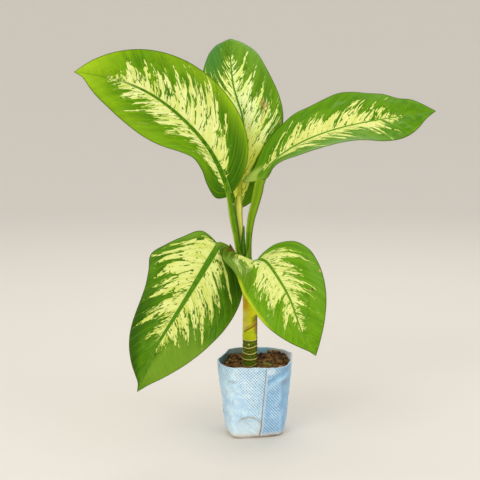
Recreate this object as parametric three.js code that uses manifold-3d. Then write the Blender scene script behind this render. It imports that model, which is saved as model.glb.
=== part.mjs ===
import * as THREE from 'three';
import { mergeVertices } from 'three/addons/utils/BufferGeometryUtils.js';
import Module from 'manifold-3d';

// Potted dieffenbachia in a soft grow bag. Millimetres, +Z up, origin at the
// centre of the bag's base, +X to the right and -Y towards the viewer.

// ---- driving dimensions -------------------------------------------------
const BAG_HEIGHT = 98.6; // mean height of the rim
// The bag's outline at the mouth and at the base: flat sides, each given by the
// direction it faces in degrees and its distance from the middle. The soft
// cloth rounds the corners between them.
const MOUTH_SIDES = [[-90, 46.5], [-147.7, 49.4], [161, 41.5], [90, 49], [-7.7, 48.5], [45, 54], [-45, 57]];
const BASE_SIDES = [[-80, 28.8], [-160.2, 36.9], [164.6, 36.6], [95, 36], [0, 38.5], [-40, 42], [45, 47]];
const BAG_WALL = 1.3;
const BAG_FLOOR = 1.6;
const GAP = 0.35; // clearance between touching pieces
const SOIL_LEVEL = 90; // soil height at the cane
const CANE_R = 9.6;
const CANE_BOTTOM = 55;
const CANE_TOP = 225;
const CANE_X = -6; // the cane stands a little left of the bag's middle
const CANE_LEAN = -7.5; // and leans left near its top
const BLADE_T = 1.3; // leaf blade thickness near the midrib
const BLADE_EDGE_T = 0.9;

// ---- leaf control points ------------------------------------------------
// Three matching rows per blade, from its base to its tip: the midrib and the
// two margins.
const upperLeft = {
  mid: [[-32.9, -16.0, 310.3], [-37.0, -17.6, 326.4], [-42.8, -19.3, 342.0], [-50.0, -21.0, 357.0], [-58.6, -22.7, 371.3], [-68.4, -24.6, 384.8], [-79.2, -27.0, 397.4], [-90.8, -29.9, 409.1], [-102.9, -33.5, 420.1], [-115.6, -37.5, 430.2], [-129.1, -41.9, 439.2], [-143.1, -47.1, 446.6], [-157.6, -53.1, 452.7], [-172.3, -59.7, 457.3], [-186.8, -67.3, 460.6], [-201.0, -75.8, 463.1], [-214.8, -85.0, 465.3]],
  left: [[-32.9, -16.0, 310.3], [-49.3, -22.1, 309.6], [-59.9, -29.6, 326.9], [-66.2, -37.8, 345.8], [-76.6, -45.3, 361.4], [-92.6, -52.5, 369.2], [-108.9, -58.0, 374.7], [-123.9, -63.0, 381.5], [-137.5, -67.5, 389.7], [-149.9, -71.0, 398.7], [-161.2, -74.4, 408.3], [-171.6, -77.9, 418.3], [-181.2, -80.5, 428.3], [-190.0, -82.7, 438.4], [-198.0, -83.8, 448.6], [-205.1, -84.6, 458.9], [-214.8, -85.0, 465.3]],
  right: [[-32.9, -16.0, 310.3], [-19.5, -14.5, 328.2], [-11.1, -12.8, 348.9], [-8.3, -11.4, 371.0], [-11.4, -10.9, 393.1], [-19.3, -11.0, 413.9], [-30.8, -13.0, 432.9], [-44.8, -15.9, 450.0], [-61.1, -19.5, 464.7], [-79.2, -24.0, 476.7], [-98.8, -29.5, 485.6], [-119.3, -35.9, 491.2], [-140.3, -43.5, 493.3], [-161.0, -52.1, 491.5], [-180.7, -62.4, 486.1], [-198.9, -73.5, 477.3], [-214.8, -85.0, 465.3]],
};
const topBack = {
  mid: [[-18.4, 10.0, 292.1], [-19.0, 11.5, 310.0], [-18.9, 13.7, 327.9], [-17.8, 17.0, 345.6], [-15.9, 20.8, 363.0], [-14.3, 24.6, 380.5], [-14.3, 28.5, 398.1], [-17.3, 33.0, 415.2], [-22.5, 38.3, 431.6], [-27.2, 44.6, 447.8], [-29.7, 51.8, 464.1], [-31.1, 60.2, 479.9], [-32.1, 69.7, 495.1], [-32.2, 80.8, 509.4], [-30.1, 94.0, 508.6], [-29.7, 107.0, 496.2], [-28.5, 120.0, 483.9]],
  left: [[-18.4, 10.0, 292.1], [-31.5, 11.5, 303.0], [-39.9, 13.6, 318.3], [-47.5, 15.7, 333.9], [-53.8, 17.9, 349.8], [-58.9, 20.4, 366.0], [-62.7, 23.1, 382.3], [-65.6, 26.4, 398.7], [-67.8, 31.3, 414.9], [-69.4, 37.6, 431.1], [-69.8, 44.8, 447.3], [-68.4, 53.2, 463.4], [-64.6, 63.6, 479.0], [-57.7, 77.2, 493.6], [-46.2, 93.2, 504.3], [-32.5, 109.0, 498.6], [-28.5, 120.0, 483.9]],
  right: [[-18.4, 10.0, 292.1], [-3.3, 13.2, 301.6], [5.4, 15.6, 317.2], [12.0, 17.4, 333.8], [19.1, 19.2, 349.9], [26.2, 21.3, 365.8], [32.3, 23.6, 381.9], [36.2, 26.6, 398.5], [36.7, 31.3, 415.3], [33.6, 37.6, 431.6], [28.1, 44.8, 447.2], [21.1, 53.2, 462.2], [13.4, 63.6, 476.8], [4.6, 77.2, 490.8], [-8.1, 93.2, 501.2], [-23.4, 109.0, 498.6], [-28.5, 120.0, 483.9]],
};
const right = {
  mid: [[3.8, -6.0, 329.6], [12.7, -7.2, 342.0], [23.1, -8.4, 353.3], [34.7, -9.7, 363.2], [47.4, -10.9, 371.8], [60.8, -12.2, 379.2], [74.7, -13.4, 385.5], [89.0, -14.6, 390.9], [103.6, -15.9, 395.5], [118.4, -17.1, 399.4], [133.3, -18.4, 402.8], [148.3, -19.7, 405.8], [163.4, -20.9, 408.4], [178.5, -22.2, 410.9], [193.6, -23.5, 413.3], [208.7, -24.7, 415.7], [223.8, -26.0, 418.3]],
  left: [[3.8, -6.0, 329.6], [-15.6, -1.0, 328.4], [-0.6, 3.3, 346.3], [8.4, 8.0, 366.9], [20.5, 13.2, 384.8], [35.3, 16.6, 400.4], [51.5, 18.7, 413.9], [70.3, 19.3, 422.4], [88.2, 18.1, 431.5], [106.2, 16.9, 439.0], [125.4, 15.3, 440.7], [144.1, 11.3, 439.9], [162.2, 6.1, 438.8], [179.1, -0.5, 434.0], [195.7, -8.7, 432.0], [210.4, -17.0, 425.5], [223.8, -26.0, 418.3]],
  right: [[3.8, -6.0, 329.6], [15.8, -15.6, 334.5], [23.9, -29.8, 348.9], [36.2, -41.3, 358.7], [50.3, -50.6, 364.6], [64.7, -56.9, 369.4], [79.2, -61.5, 373.7], [93.7, -64.6, 377.9], [108.5, -65.3, 381.3], [123.7, -64.6, 383.1], [139.1, -63.3, 383.3], [154.8, -60.8, 383.1], [170.6, -56.9, 384.3], [186.0, -50.6, 388.9], [199.6, -42.2, 397.4], [210.8, -34.2, 408.8], [223.8, -26.0, 418.3]],
};
const lowerLeft = {
  mid: [[-45.4, -30.0, 252.4], [-51.5, -37.0, 242.8], [-57.6, -43.7, 233.1], [-63.9, -50.3, 223.4], [-70.3, -56.5, 213.5], [-76.8, -62.4, 203.4], [-83.3, -68.1, 193.4], [-90.0, -73.6, 183.2], [-96.8, -78.7, 173.0], [-103.7, -83.4, 162.6], [-110.6, -88.0, 152.2], [-117.4, -92.2, 141.5], [-123.9, -95.6, 130.4], [-130.1, -98.3, 118.9], [-135.6, -100.7, 107.1], [-140.2, -102.6, 94.7], [-143.7, -104.0, 82.0]],
  left: [[-45.4, -30.0, 252.4], [-67.0, -33.7, 269.5], [-91.0, -40.0, 262.8], [-112.2, -48.8, 253.9], [-129.0, -58.3, 243.6], [-131.3, -66.8, 225.3], [-134.3, -75.0, 208.7], [-139.1, -82.7, 194.0], [-144.4, -88.7, 180.0], [-149.1, -93.2, 166.2], [-152.1, -97.1, 152.7], [-153.0, -100.3, 139.5], [-151.9, -102.7, 126.9], [-149.5, -103.8, 114.8], [-145.8, -104.4, 103.5], [-142.6, -104.6, 92.7], [-143.7, -104.0, 82.0]],
  right: [[-45.4, -30.0, 252.4], [-32.6, -28.2, 238.8], [-23.2, -30.5, 223.8], [-16.8, -34.4, 208.3], [-15.8, -38.9, 192.5], [-19.4, -44.4, 178.3], [-25.6, -50.9, 166.1], [-33.2, -57.9, 155.2], [-42.2, -64.7, 144.9], [-52.3, -71.7, 135.3], [-63.2, -79.0, 126.6], [-74.9, -85.7, 118.6], [-87.4, -91.1, 110.8], [-100.7, -95.5, 103.5], [-114.8, -99.3, 96.6], [-129.4, -102.1, 90.1], [-143.7, -104.0, 82.0]],
};
const lowerRight = {
  mid: [[0.0, -18.0, 227.6], [6.7, -25.6, 231.0], [12.4, -34.6, 230.5], [16.7, -44.1, 228.0], [20.9, -53.0, 223.7], [25.2, -61.2, 218.4], [29.6, -69.0, 212.5], [34.0, -76.6, 206.3], [38.2, -83.8, 199.5], [42.0, -90.4, 192.0], [45.4, -96.2, 183.7], [48.6, -101.3, 174.8], [51.8, -105.9, 165.6], [55.4, -110.1, 156.4], [59.6, -113.9, 147.3], [64.9, -117.2, 138.6], [71.5, -120.0, 130.6]],
  left: [[0.0, -18.0, 227.6], [-20.0, -23.8, 236.8], [-37.0, -33.0, 249.7], [-40.9, -46.3, 238.5], [-26.7, -60.3, 223.5], [-20.3, -71.6, 210.8], [-15.8, -81.2, 199.7], [-10.0, -90.0, 190.6], [-3.4, -97.8, 181.5], [4.3, -103.9, 172.4], [12.7, -108.2, 164.0], [22.0, -111.6, 156.6], [31.8, -114.4, 150.3], [41.9, -116.3, 144.9], [52.1, -117.7, 140.3], [62.3, -119.0, 136.1], [71.5, -120.0, 130.6]],
  right: [[0.0, -18.0, 227.6], [11.9, -20.7, 241.1], [28.1, -28.7, 252.8], [49.6, -39.2, 257.0], [66.3, -49.7, 249.2], [74.8, -59.6, 238.5], [79.9, -69.6, 228.2], [82.8, -79.5, 218.3], [84.5, -87.8, 208.3], [85.0, -94.4, 198.3], [84.7, -100.2, 188.7], [83.6, -105.3, 179.3], [82.1, -109.5, 169.8], [80.0, -112.7, 159.9], [77.5, -115.3, 150.1], [74.7, -117.8, 140.3], [71.5, -120.0, 130.6]],
};
// ---- helpers --------------------------------------------------------------
const V = (x, y, z) => new THREE.Vector3(x, y, z);
const curve = (pts) => new THREE.CatmullRomCurve3(pts.map((p) => V(...p)), false, 'centripetal');

// A point at parameter u of the rows, keeping the rows' own spacing.
function rowSampler(pts) {
  const c = new THREE.CatmullRomCurve3(pts.map((p) => V(...p)), false, 'catmullrom', 0.5);
  return (u) => c.getPoint(Math.min(1, Math.max(0, u)));
}

function toGeometry(positions, indices) {
  const g = new THREE.BufferGeometry();
  g.setAttribute('position', new THREE.Float32BufferAttribute(positions, 3));
  g.setIndex(indices);
  return fixWinding(g);
}

// Turns every triangle round if the closed surface faces inward.
function fixWinding(g) {
  const p = g.attributes.position;
  const ix = g.index.array;
  const a = V(0, 0, 0), b = V(0, 0, 0), c = V(0, 0, 0);
  let vol = 0;
  for (let i = 0; i < ix.length; i += 3) {
    a.fromBufferAttribute(p, ix[i]);
    b.fromBufferAttribute(p, ix[i + 1]);
    c.fromBufferAttribute(p, ix[i + 2]);
    vol += a.dot(b.cross(c)) / 6;
  }
  if (vol < 0) for (let i = 0; i < ix.length; i += 3) [ix[i + 1], ix[i + 2]] = [ix[i + 2], ix[i + 1]];
  return g;
}

// A closed loft through rings that all have the same number of points.
function loft(rings, startCentre, endCentre) {
  const n = rings[0].length;
  const pos = [];
  const idx = [];
  for (const r of rings) for (const q of r) pos.push(q.x, q.y, q.z);
  for (let k = 0; k + 1 < rings.length; k++)
    for (let i = 0; i < n; i++) {
      const j = (i + 1) % n;
      const a = k * n + i, b = k * n + j, c = (k + 1) * n + j, d = (k + 1) * n + i;
      idx.push(a, b, c, a, c, d);
    }
  const centre = (ring) => ring.reduce((s, q) => s.add(q), V(0, 0, 0)).divideScalar(ring.length);
  const s = startCentre || centre(rings[0]);
  const e = endCentre || centre(rings[rings.length - 1]);
  const si = pos.length / 3;
  pos.push(s.x, s.y, s.z, e.x, e.y, e.z);
  const last = (rings.length - 1) * n;
  for (let i = 0; i < n; i++) {
    const j = (i + 1) % n;
    idx.push(si, j, i);
    idx.push(si + 1, last + i, last + j);
  }
  return toGeometry(pos, idx);
}

// A tapering stem along a curve, sides round, radius by position.
function stem(pts, radius, steps, sides = 8) {
  const c = curve(pts);
  const frames = c.computeFrenetFrames(steps, false);
  const rings = [];
  for (let k = 0; k <= steps; k++) {
    const u = k / steps;
    const o = c.getPointAt(u);
    const r = radius(u);
    const ring = [];
    for (let i = 0; i < sides; i++) {
      const a = (2 * Math.PI * i) / sides;
      ring.push(o.clone().addScaledVector(frames.normals[k], r * Math.cos(a)).addScaledVector(frames.binormals[k], r * Math.sin(a)));
    }
    rings.push(ring);
  }
  return loft(rings);
}

// A leaf blade: a thin sheet between its midrib and margins. Each half swells
// by crown towards the leaf's upper face, and its lobe may dip near the stalk.
function blade(leaf, steps, across, crown, face = -1, dip = 0) {
  const M = rowSampler(leaf.mid), L = rowSampler(leaf.left), R = rowSampler(leaf.right);
  const point = (u, s) => {
    const m = M(u);
    const e = s < 0 ? L(u) : R(u);
    return m.lerp(e, Math.abs(s));
  };
  const cols = across * 2;
  const grid = [];
  for (let k = 0; k <= steps; k++) {
    const u = k / steps;
    const row = [];
    for (let j = 0; j <= cols; j++) {
      const s = (j - across) / across;
      const du = 0.02, ds = 0.08;
      const a = point(Math.min(1, u + du), s).sub(point(Math.max(0, u - du), s));
      const uu = Math.min(0.985, Math.max(0.015, u));
      const b = point(uu, Math.min(1, s + ds)).sub(point(uu, Math.max(-1, s - ds)));
      const nrm = a.cross(b).normalize();
      const p = point(u, s);
      const w = p.distanceTo(M(u));
      const sag = s < 0 ? dip * Math.exp(-(((u - 0.105) / 0.075) ** 2)) : 0;
      p.addScaledVector(nrm, face * (crown - sag) * Math.sin(Math.PI * Math.abs(s)) * Math.min(1, w / 20));
      row.push({ p, nrm, t: THREE.MathUtils.lerp(BLADE_T, BLADE_EDGE_T, Math.abs(s)) });
    }
    grid.push(row);
  }
  const pos = [];
  const idx = [];
  const add = (q, h) => {
    const r = q.p.clone().addScaledVector(q.nrm, h);
    pos.push(r.x, r.y, r.z);
    return pos.length / 3 - 1;
  };
  const top = [], bot = [];
  for (let k = 0; k <= steps; k++) {
    if (k === 0 || k === steps) {
      const q = grid[k][across];
      const a = add(q, q.t / 2), b = add(q, -q.t / 2);
      top.push(new Array(cols + 1).fill(a));
      bot.push(new Array(cols + 1).fill(b));
    } else {
      top.push(grid[k].map((q) => add(q, q.t / 2)));
      bot.push(grid[k].map((q) => add(q, -q.t / 2)));
    }
  }
  const tri = (a, b, c) => {
    if (a !== b && b !== c && a !== c) idx.push(a, b, c);
  };
  const quad = (a, b, c, d) => {
    tri(a, b, c);
    tri(a, c, d);
  };
  for (let k = 0; k < steps; k++) {
    for (let j = 0; j < cols; j++) {
      quad(top[k][j], top[k][j + 1], top[k + 1][j + 1], top[k + 1][j]);
      quad(bot[k][j + 1], bot[k][j], bot[k + 1][j], bot[k + 1][j + 1]);
    }
    quad(bot[k][0], top[k][0], top[k + 1][0], bot[k + 1][0]);
    quad(top[k][cols], bot[k][cols], bot[k + 1][cols], top[k + 1][cols]);
  }
  return toGeometry(pos, idx);
}

const wasm = await Module();
wasm.setup();

function solid(geometry) {
  const g = geometry.clone();
  g.deleteAttribute('normal');
  g.deleteAttribute('uv');
  const m = mergeVertices(g, 1e-4);
  return new wasm.Manifold(new wasm.Mesh({
    numProp: 3,
    vertProperties: new Float32Array(m.attributes.position.array),
    triVerts: new Uint32Array(m.index.array),
  }));
}

function fromSolid(s) {
  const m = s.getMesh();
  const g = new THREE.BufferGeometry();
  g.setAttribute('position', new THREE.Float32BufferAttribute(m.vertProperties, 3));
  g.setIndex(Array.from(m.triVerts));
  return g;
}

// ---- grow bag ---------------------------------------------------------------
const AROUND = 32;
// Distance from the middle to an outline's side in direction a.
function outline(sides, a, inset) {
  let sum = 0;
  for (const [deg, d] of sides) {
    const c = Math.cos(a - THREE.MathUtils.degToRad(deg)) / (d - inset);
    if (c > 0) sum += Math.pow(c, 9);
  }
  return Math.pow(sum, -1 / 9);
}
// Distance from the middle to the bag's wall at height z, in direction a.
function bagRadius(z, a, inset) {
  const f = Math.pow(Math.min(1, Math.max(0, z / 98)), 0.85);
  const foot = z < 5 ? 1.6 * (1 - z / 5) : 0;
  return THREE.MathUtils.lerp(outline(BASE_SIDES, a, inset), outline(MOUTH_SIDES, a, inset), f) - foot;
}
function bagRing(z, inset, zAt) {
  const ring = [];
  for (let i = 0; i < AROUND; i++) {
    const a = (2 * Math.PI * (i + 0.5)) / AROUND;
    const r = bagRadius(z, a, inset);
    ring.push(V(r * Math.cos(a), r * Math.sin(a), zAt ? zAt(a) : z));
  }
  return ring;
}
const rimZ = (a) => BAG_HEIGHT + 2.6 * Math.sin(a) + 0.4 * Math.sin(3 * a);
const bagOut = [0, 5, 20, 45, 72, 90].map((z) => bagRing(z, 0));
bagOut.push(bagRing(98, 0, rimZ));
const bagIn = [bagRing(98, BAG_WALL, rimZ)];
for (const z of [90, 72, 45, 20, 5.5]) bagIn.push(bagRing(z, BAG_WALL));
bagIn.push(bagRing(5, BAG_WALL + 1.2, () => BAG_FLOOR));
const bagGeometry = loft([...bagOut, ...bagIn], V(0, 0, 0), V(0, 0, BAG_FLOOR));

// Stitched seam down the front of the bag.
const seamRows = [];
for (const z of [8, 25, 45, 65, 85, 93]) {
  const x = THREE.MathUtils.lerp(7, 14.5, z / 95);
  let lo = -Math.PI / 2, hi = -Math.PI / 4;
  for (let k = 0; k < 40; k++) {
    const a = (lo + hi) / 2;
    if (bagRadius(z, a, 0) * Math.cos(a) < x) lo = a;
    else hi = a;
  }
  const y = bagRadius(z, lo, 0) * Math.sin(lo) - GAP - 0.4;
  seamRows.push([V(x - 0.8, y + 0.05, z), V(x + 0.8, y + 0.15, z), V(x + 0.6, y - 0.7, z), V(x - 0.6, y - 0.8, z)]);
}
const seamGeometry = loft(seamRows);

// ---- cane -------------------------------------------------------------------
const caneX = (z) => CANE_X + CANE_LEAN * Math.pow(Math.max(0, (z - 170) / (CANE_TOP - 170)), 1.6);
function caneRings(grow, zs, sides = 14) {
  return zs.map(([z, r]) => {
    const ring = [];
    for (let i = 0; i < sides; i++) {
      const a = (2 * Math.PI * i) / sides;
      ring.push(V(caneX(z) + (r + grow) * Math.cos(a), (r + grow) * Math.sin(a), z));
    }
    return ring;
  });
}
const caneLevels = [[CANE_BOTTOM, CANE_R - 1.2], [62, CANE_R - 0.4]];
for (const z of [82, 91, 99.5, 107.5, 115.6, 125, 137]) caneLevels.push([z - 1.6, CANE_R - 0.3], [z, CANE_R + 0.35], [z + 1.6, CANE_R - 0.3]);
caneLevels.push([150, CANE_R - 0.5], [168, CANE_R - 0.4], [178, CANE_R + 0.2], [190, CANE_R - 0.1], [204, CANE_R], [216, CANE_R + 0.2], [CANE_TOP, CANE_R]);
const caneGeometry = loft(caneRings(0, caneLevels));

// ---- roots ------------------------------------------------------------------
function rootParts(grow) {
  const parts = [];
  const crownLevels = [[54.65 + grow * 0.2, 7.6], [50, 8.4], [42, 7], [32, 4], [26, 1.8]];
  parts.push(loft(caneRings(grow, crownLevels, 10)));
  const count = 7;
  for (let i = 0; i < count; i++) {
    const a = (2 * Math.PI * i) / count + 0.3;
    const c = Math.cos(a), s = Math.sin(a);
    const z0 = 48 - (i % 3) * 5;
    const reach = 24 + (i % 2) * 5;
    const low = 16 + (i % 3) * 9;
    const pts = [[CANE_X + 3 * c, 3 * s, z0], [CANE_X + 12 * c - 2 * s, 12 * s + 2 * c, z0 - 3], [CANE_X + 0.8 * reach * c + 2 * s, 0.8 * reach * s - 2 * c, (z0 + low) / 2], [CANE_X + reach * c, reach * s, low]];
    parts.push(stem(pts, (u) => THREE.MathUtils.lerp(2.1, 0.7, u) + grow, 6, 6));
  }
  return parts.map(solid).reduce((x, y) => x.add(y));
}
const roots = rootParts(0);

// ---- soil -------------------------------------------------------------------
function soilHeight(x, y) {
  const mound = 8.6 * Math.exp(-((x - 27) ** 2 + (y - 27) ** 2) / 250) + 3.4 * Math.exp(-((x + 24) ** 2 + (y - 24) ** 2) / 260);
  return SOIL_LEVEL - 0.9 + 0.045 * y + mound + 0.7 * Math.sin(0.31 * x + 0.9) * Math.cos(0.27 * y) + 0.5 * Math.sin(0.55 * x - 0.4 * y);
}
const soilWall = BAG_WALL + GAP + 0.15;
const soilRings = [bagRing(5, soilWall + 1.2, () => BAG_FLOOR + GAP)];
for (const z of [5.5, 20, 45, 72]) soilRings.push(bagRing(z, soilWall));
for (const k of [1, 0.82, 0.6, 0.36]) {
  const ring = bagRing(88, soilWall + (k === 1 ? 0.6 : 0));
  soilRings.push(ring.map((q) => V(q.x * k, q.y * k, soilHeight(q.x * k, q.y * k) - (k === 1 ? 1.2 : 0))));
}
const soilBody = solid(loft(soilRings));
const caneHole = solid(loft(caneRings(GAP + 0.2, [[CANE_BOTTOM - GAP - 0.3, CANE_R + 0.35], [60, CANE_R + 0.35], [110, CANE_R + 0.35]], 16)));
const soil = soilBody.subtract(caneHole).subtract(rootParts(GAP));

// ---- leaves -----------------------------------------------------------------
// One leaf is its blade, its midrib and its stalk in one piece.
function leafSolid(leaf, stalk, r0, r1, crown, face, dip) {
  const sheet = solid(blade(leaf, 16, 3, crown, face, dip));
  const keel = leaf.mid.slice(1, 8);
  const path = [...stalk, ...keel];
  const stalkShare = curve(stalk).getLength() / curve(path).getLength();
  const rib = solid(stem(path, (u) => (u < stalkShare ? THREE.MathUtils.lerp(r0, r1, u / stalkShare) : THREE.MathUtils.lerp(r1, 0.9, (u - stalkShare) / (1 - stalkShare))), 16, 8));
  return sheet.add(rib);
}

const STALKS = {
  upperLeft: { path: [[-19.3, -3.8, 225.6], [-21.2, -4.2, 240], [-24.6, -6.5, 260.5], [-28.6, -10.5, 284]], r0: 2.85, r1: 3.8, crown: 2.4 },
  topBack: { path: [[-14.0, 4.8, 225.6], [-16.4, 5.0, 240], [-17.7, 6.5, 262]], r0: 3.0, r1: 4.2, crown: 2.2 },
  right: { path: [[-7.4, -2.3, 225.6], [-8.0, -2.2, 240], [-7.2, -2.4, 260], [-4.3, -3, 283], [0.0, -4, 303]], r0: 3.2, r1: 4.3, crown: 2.2 },
  lowerLeft: { path: [[-23.3, -5.6, 211], [-25.6, -9.4, 226], [-30.6, -15.6, 239.6], [-37, -23, 248.2]], r0: 3.3, r1: 3.0, crown: 2.2, face: 1 },
  lowerRight: { path: [[-4.6, -12.9, 193], [-4.0, -13.9, 206], [-2.0, -16.0, 219]], r0: 3.3, r1: 3.0, crown: 2.0, face: 1, dip: 7 },
};

// ---- spear, dry sheath, sprout -------------------------------------------------
const spearGeometry = stem([[-14.0, -5.3, 225.6], [-15.0, -4.4, 240], [-14.9, -4.0, 256], [-13.9, -4.2, 272]], (u) => 2.15 * Math.sqrt(1 - 0.985 * u * u), 10, 8);

const sheathLeaf = {
  mid: [[-23.2, -18.1, 227.0], [-26.2, -19.5, 233.5], [-28.6, -21.3, 240.0], [-30.4, -23.2, 246.0], [-31.8, -24.7, 252.0]],
  left: [[-23.2, -18.1, 227.0], [-28.8, -19.3, 231.5], [-32.0, -21.3, 238.0], [-32.6, -23.3, 245.0], [-31.8, -24.7, 252.0]],
  right: [[-23.2, -18.1, 227.0], [-22.8, -20.2, 234.5], [-25.4, -22.1, 241.5], [-28.6, -23.7, 247.0], [-31.8, -24.7, 252.0]],
};
const sheathGeometry = blade(sheathLeaf, 8, 2, 0.3);

const SPROUT = [15.5, -8, 0];
const sproutZ = soilHeight(SPROUT[0], SPROUT[1]);
const sprout = [
  stem([[SPROUT[0], SPROUT[1], sproutZ + 0.5], [SPROUT[0] - 0.3, SPROUT[1] - 0.2, sproutZ + 3], [SPROUT[0] + 0.4, SPROUT[1] - 0.3, sproutZ + 6]], () => 0.6, 4, 6),
  new THREE.SphereGeometry(1, 8, 6).scale(2.2, 1.3, 0.55).rotateY(0.5).translate(SPROUT[0] - 1.7, SPROUT[1] - 0.4, sproutZ + 6),
  new THREE.SphereGeometry(1, 8, 6).scale(2.2, 1.3, 0.55).rotateY(-0.45).translate(SPROUT[0] + 2.1, SPROUT[1] - 0.2, sproutZ + 6.6),
].map(solid).reduce((x, y) => x.add(y));

// ---- assembly -------------------------------------------------------------------
const mat = (color, roughness) => new THREE.MeshStandardMaterial({ color, roughness, metalness: 0 });
const potted = new THREE.Group();
function place(name, geometry, material) {
  const m = new THREE.Mesh(geometry, material);
  m.name = name;
  potted.add(m);
}

place('grow_bag', bagGeometry, mat(0x9cc4e2, 0.8));
place('bag_seam', seamGeometry, mat(0x54708a, 0.8));
place('soil', fromSolid(soil), mat(0x3a2618, 0.95));
place('roots', fromSolid(roots), mat(0xb89c70, 0.85));
place('cane', caneGeometry, mat(0x9c9a3a, 0.6));
const leafColours = { upperLeft: 0x6fa82a, topBack: 0x86aa52, right: 0x5f9a2c, lowerLeft: 0x7ba63a, lowerRight: 0x7fb03e };
const blades = { upperLeft, topBack, right, lowerLeft, lowerRight };
const leafNames = { upperLeft: 'leaf_upper_left', topBack: 'leaf_top_back', right: 'leaf_right', lowerLeft: 'leaf_lower_left', lowerRight: 'leaf_lower_right' };
for (const key of Object.keys(blades)) {
  const s = STALKS[key];
  place(leafNames[key], fromSolid(leafSolid(blades[key], s.path, s.r0, s.r1, s.crown, s.face || -1, s.dip || 0)), mat(leafColours[key], 0.45));
}
place('spear_leaf', spearGeometry, mat(0x2f6a1c, 0.5));
place('dry_sheath', sheathGeometry, mat(0x7a5a34, 0.8));
place('weed_sprout', fromSolid(sprout), mat(0xa8b830, 0.6));

export default potted;
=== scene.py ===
import bpy
import math
import numpy as np
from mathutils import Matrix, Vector


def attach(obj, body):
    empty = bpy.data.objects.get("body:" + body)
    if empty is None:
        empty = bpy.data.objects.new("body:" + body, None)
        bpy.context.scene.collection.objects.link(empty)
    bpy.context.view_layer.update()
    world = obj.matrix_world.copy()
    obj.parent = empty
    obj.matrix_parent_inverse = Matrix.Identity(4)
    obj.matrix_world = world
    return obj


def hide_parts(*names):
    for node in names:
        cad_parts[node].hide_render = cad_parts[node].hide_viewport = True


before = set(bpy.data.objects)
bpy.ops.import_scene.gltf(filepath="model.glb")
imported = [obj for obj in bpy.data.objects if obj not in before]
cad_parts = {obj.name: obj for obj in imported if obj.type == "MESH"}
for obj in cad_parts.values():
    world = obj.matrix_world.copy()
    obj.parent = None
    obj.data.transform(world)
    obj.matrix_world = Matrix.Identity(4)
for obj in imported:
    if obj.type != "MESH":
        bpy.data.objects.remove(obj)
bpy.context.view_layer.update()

# Potted dieffenbachia: variegated leaves on a ringed cane in a soft light-blue
# grow bag. All lengths below are in millimetres until a mesh is made, which
# turns them into metres. +X is right, -Y is towards the viewer, +Z is up.

MM = 0.001
rng = np.random.default_rng(7)


# --------------------------------------------------------------------------
# small numeric helpers
# --------------------------------------------------------------------------
def smooth(x, a, b):
    t = np.clip((np.asarray(x, float) - a) / (b - a), 0.0, 1.0)
    return t * t * (3 - 2 * t)


def gauss(x, c, w):
    return np.exp(-(((np.asarray(x, float) - c) / w) ** 2))


def _hash(ix, iy, iz, seed):
    h = (ix * 374761393 + iy * 668265263 + iz * 1274126177 + seed * 974634777) & 0xFFFFFFFF
    h = ((h ^ (h >> 13)) * 1274126177) & 0xFFFFFFFF
    h = ((h ^ (h >> 16)) * 2246822519) & 0xFFFFFFFF
    h = h ^ (h >> 15)
    return (h & 0xFFFFFF) / float(0xFFFFFF)


def vnoise(p, seed=0):
    """Smooth value noise, -1 to 1, of points p (..., 3)."""
    p = np.asarray(p, float)
    i = np.floor(p).astype(np.int64)
    f = p - i
    f = f * f * f * (f * (f * 6 - 15) + 10)
    out = 0.0
    for dx in (0, 1):
        for dy in (0, 1):
            for dz in (0, 1):
                w = (
                    (f[..., 0] if dx else 1 - f[..., 0])
                    * (f[..., 1] if dy else 1 - f[..., 1])
                    * (f[..., 2] if dz else 1 - f[..., 2])
                )
                out = out + w * _hash(i[..., 0] + dx, i[..., 1] + dy, i[..., 2] + dz, seed)
    return out * 2 - 1


def fbm(p, octaves=3, seed=0, gain=0.5):
    p = np.asarray(p, float)
    out, amp, tot = 0.0, 1.0, 0.0
    for k in range(octaves):
        out = out + amp * vnoise(p * (2.03**k), seed + 17 * k)
        tot += amp
        amp *= gain
    return out / tot


def catmull(P, u):
    """Points at parameters u (0 to 1) on the smooth curve through rows P."""
    P = np.asarray(P, float)
    n = len(P) - 1
    x = np.clip(np.asarray(u, float), 0, 1) * n
    i = np.minimum(np.floor(x).astype(int), n - 1)
    f = (x - i)[..., None]
    E = np.vstack([2 * P[0] - P[1], P, 2 * P[-1] - P[-2]])
    a, b, c, d = E[i], E[i + 1], E[i + 2], E[i + 3]
    return 0.5 * (2 * b + (c - a) * f + (2 * a - 5 * b + 4 * c - d) * f**2 + (3 * b - a - 3 * c + d) * f**3)


def unit(v):
    return v / np.maximum(np.linalg.norm(v, axis=-1, keepdims=True), 1e-12)


# --------------------------------------------------------------------------
# mesh helpers
# --------------------------------------------------------------------------
def grid_faces(nr, nc, start=0, wrap=False, flip=False):
    r, c = np.meshgrid(np.arange(nr - 1), np.arange(nc if wrap else nc - 1), indexing="ij")
    c2 = (c + 1) % nc
    a = start + r * nc + c
    b = start + r * nc + c2
    d = start + (r + 1) * nc + c2
    e = start + (r + 1) * nc + c
    q = np.stack([a, b, d, e], -1).reshape(-1, 4)
    return q[:, ::-1] if flip else q


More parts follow.
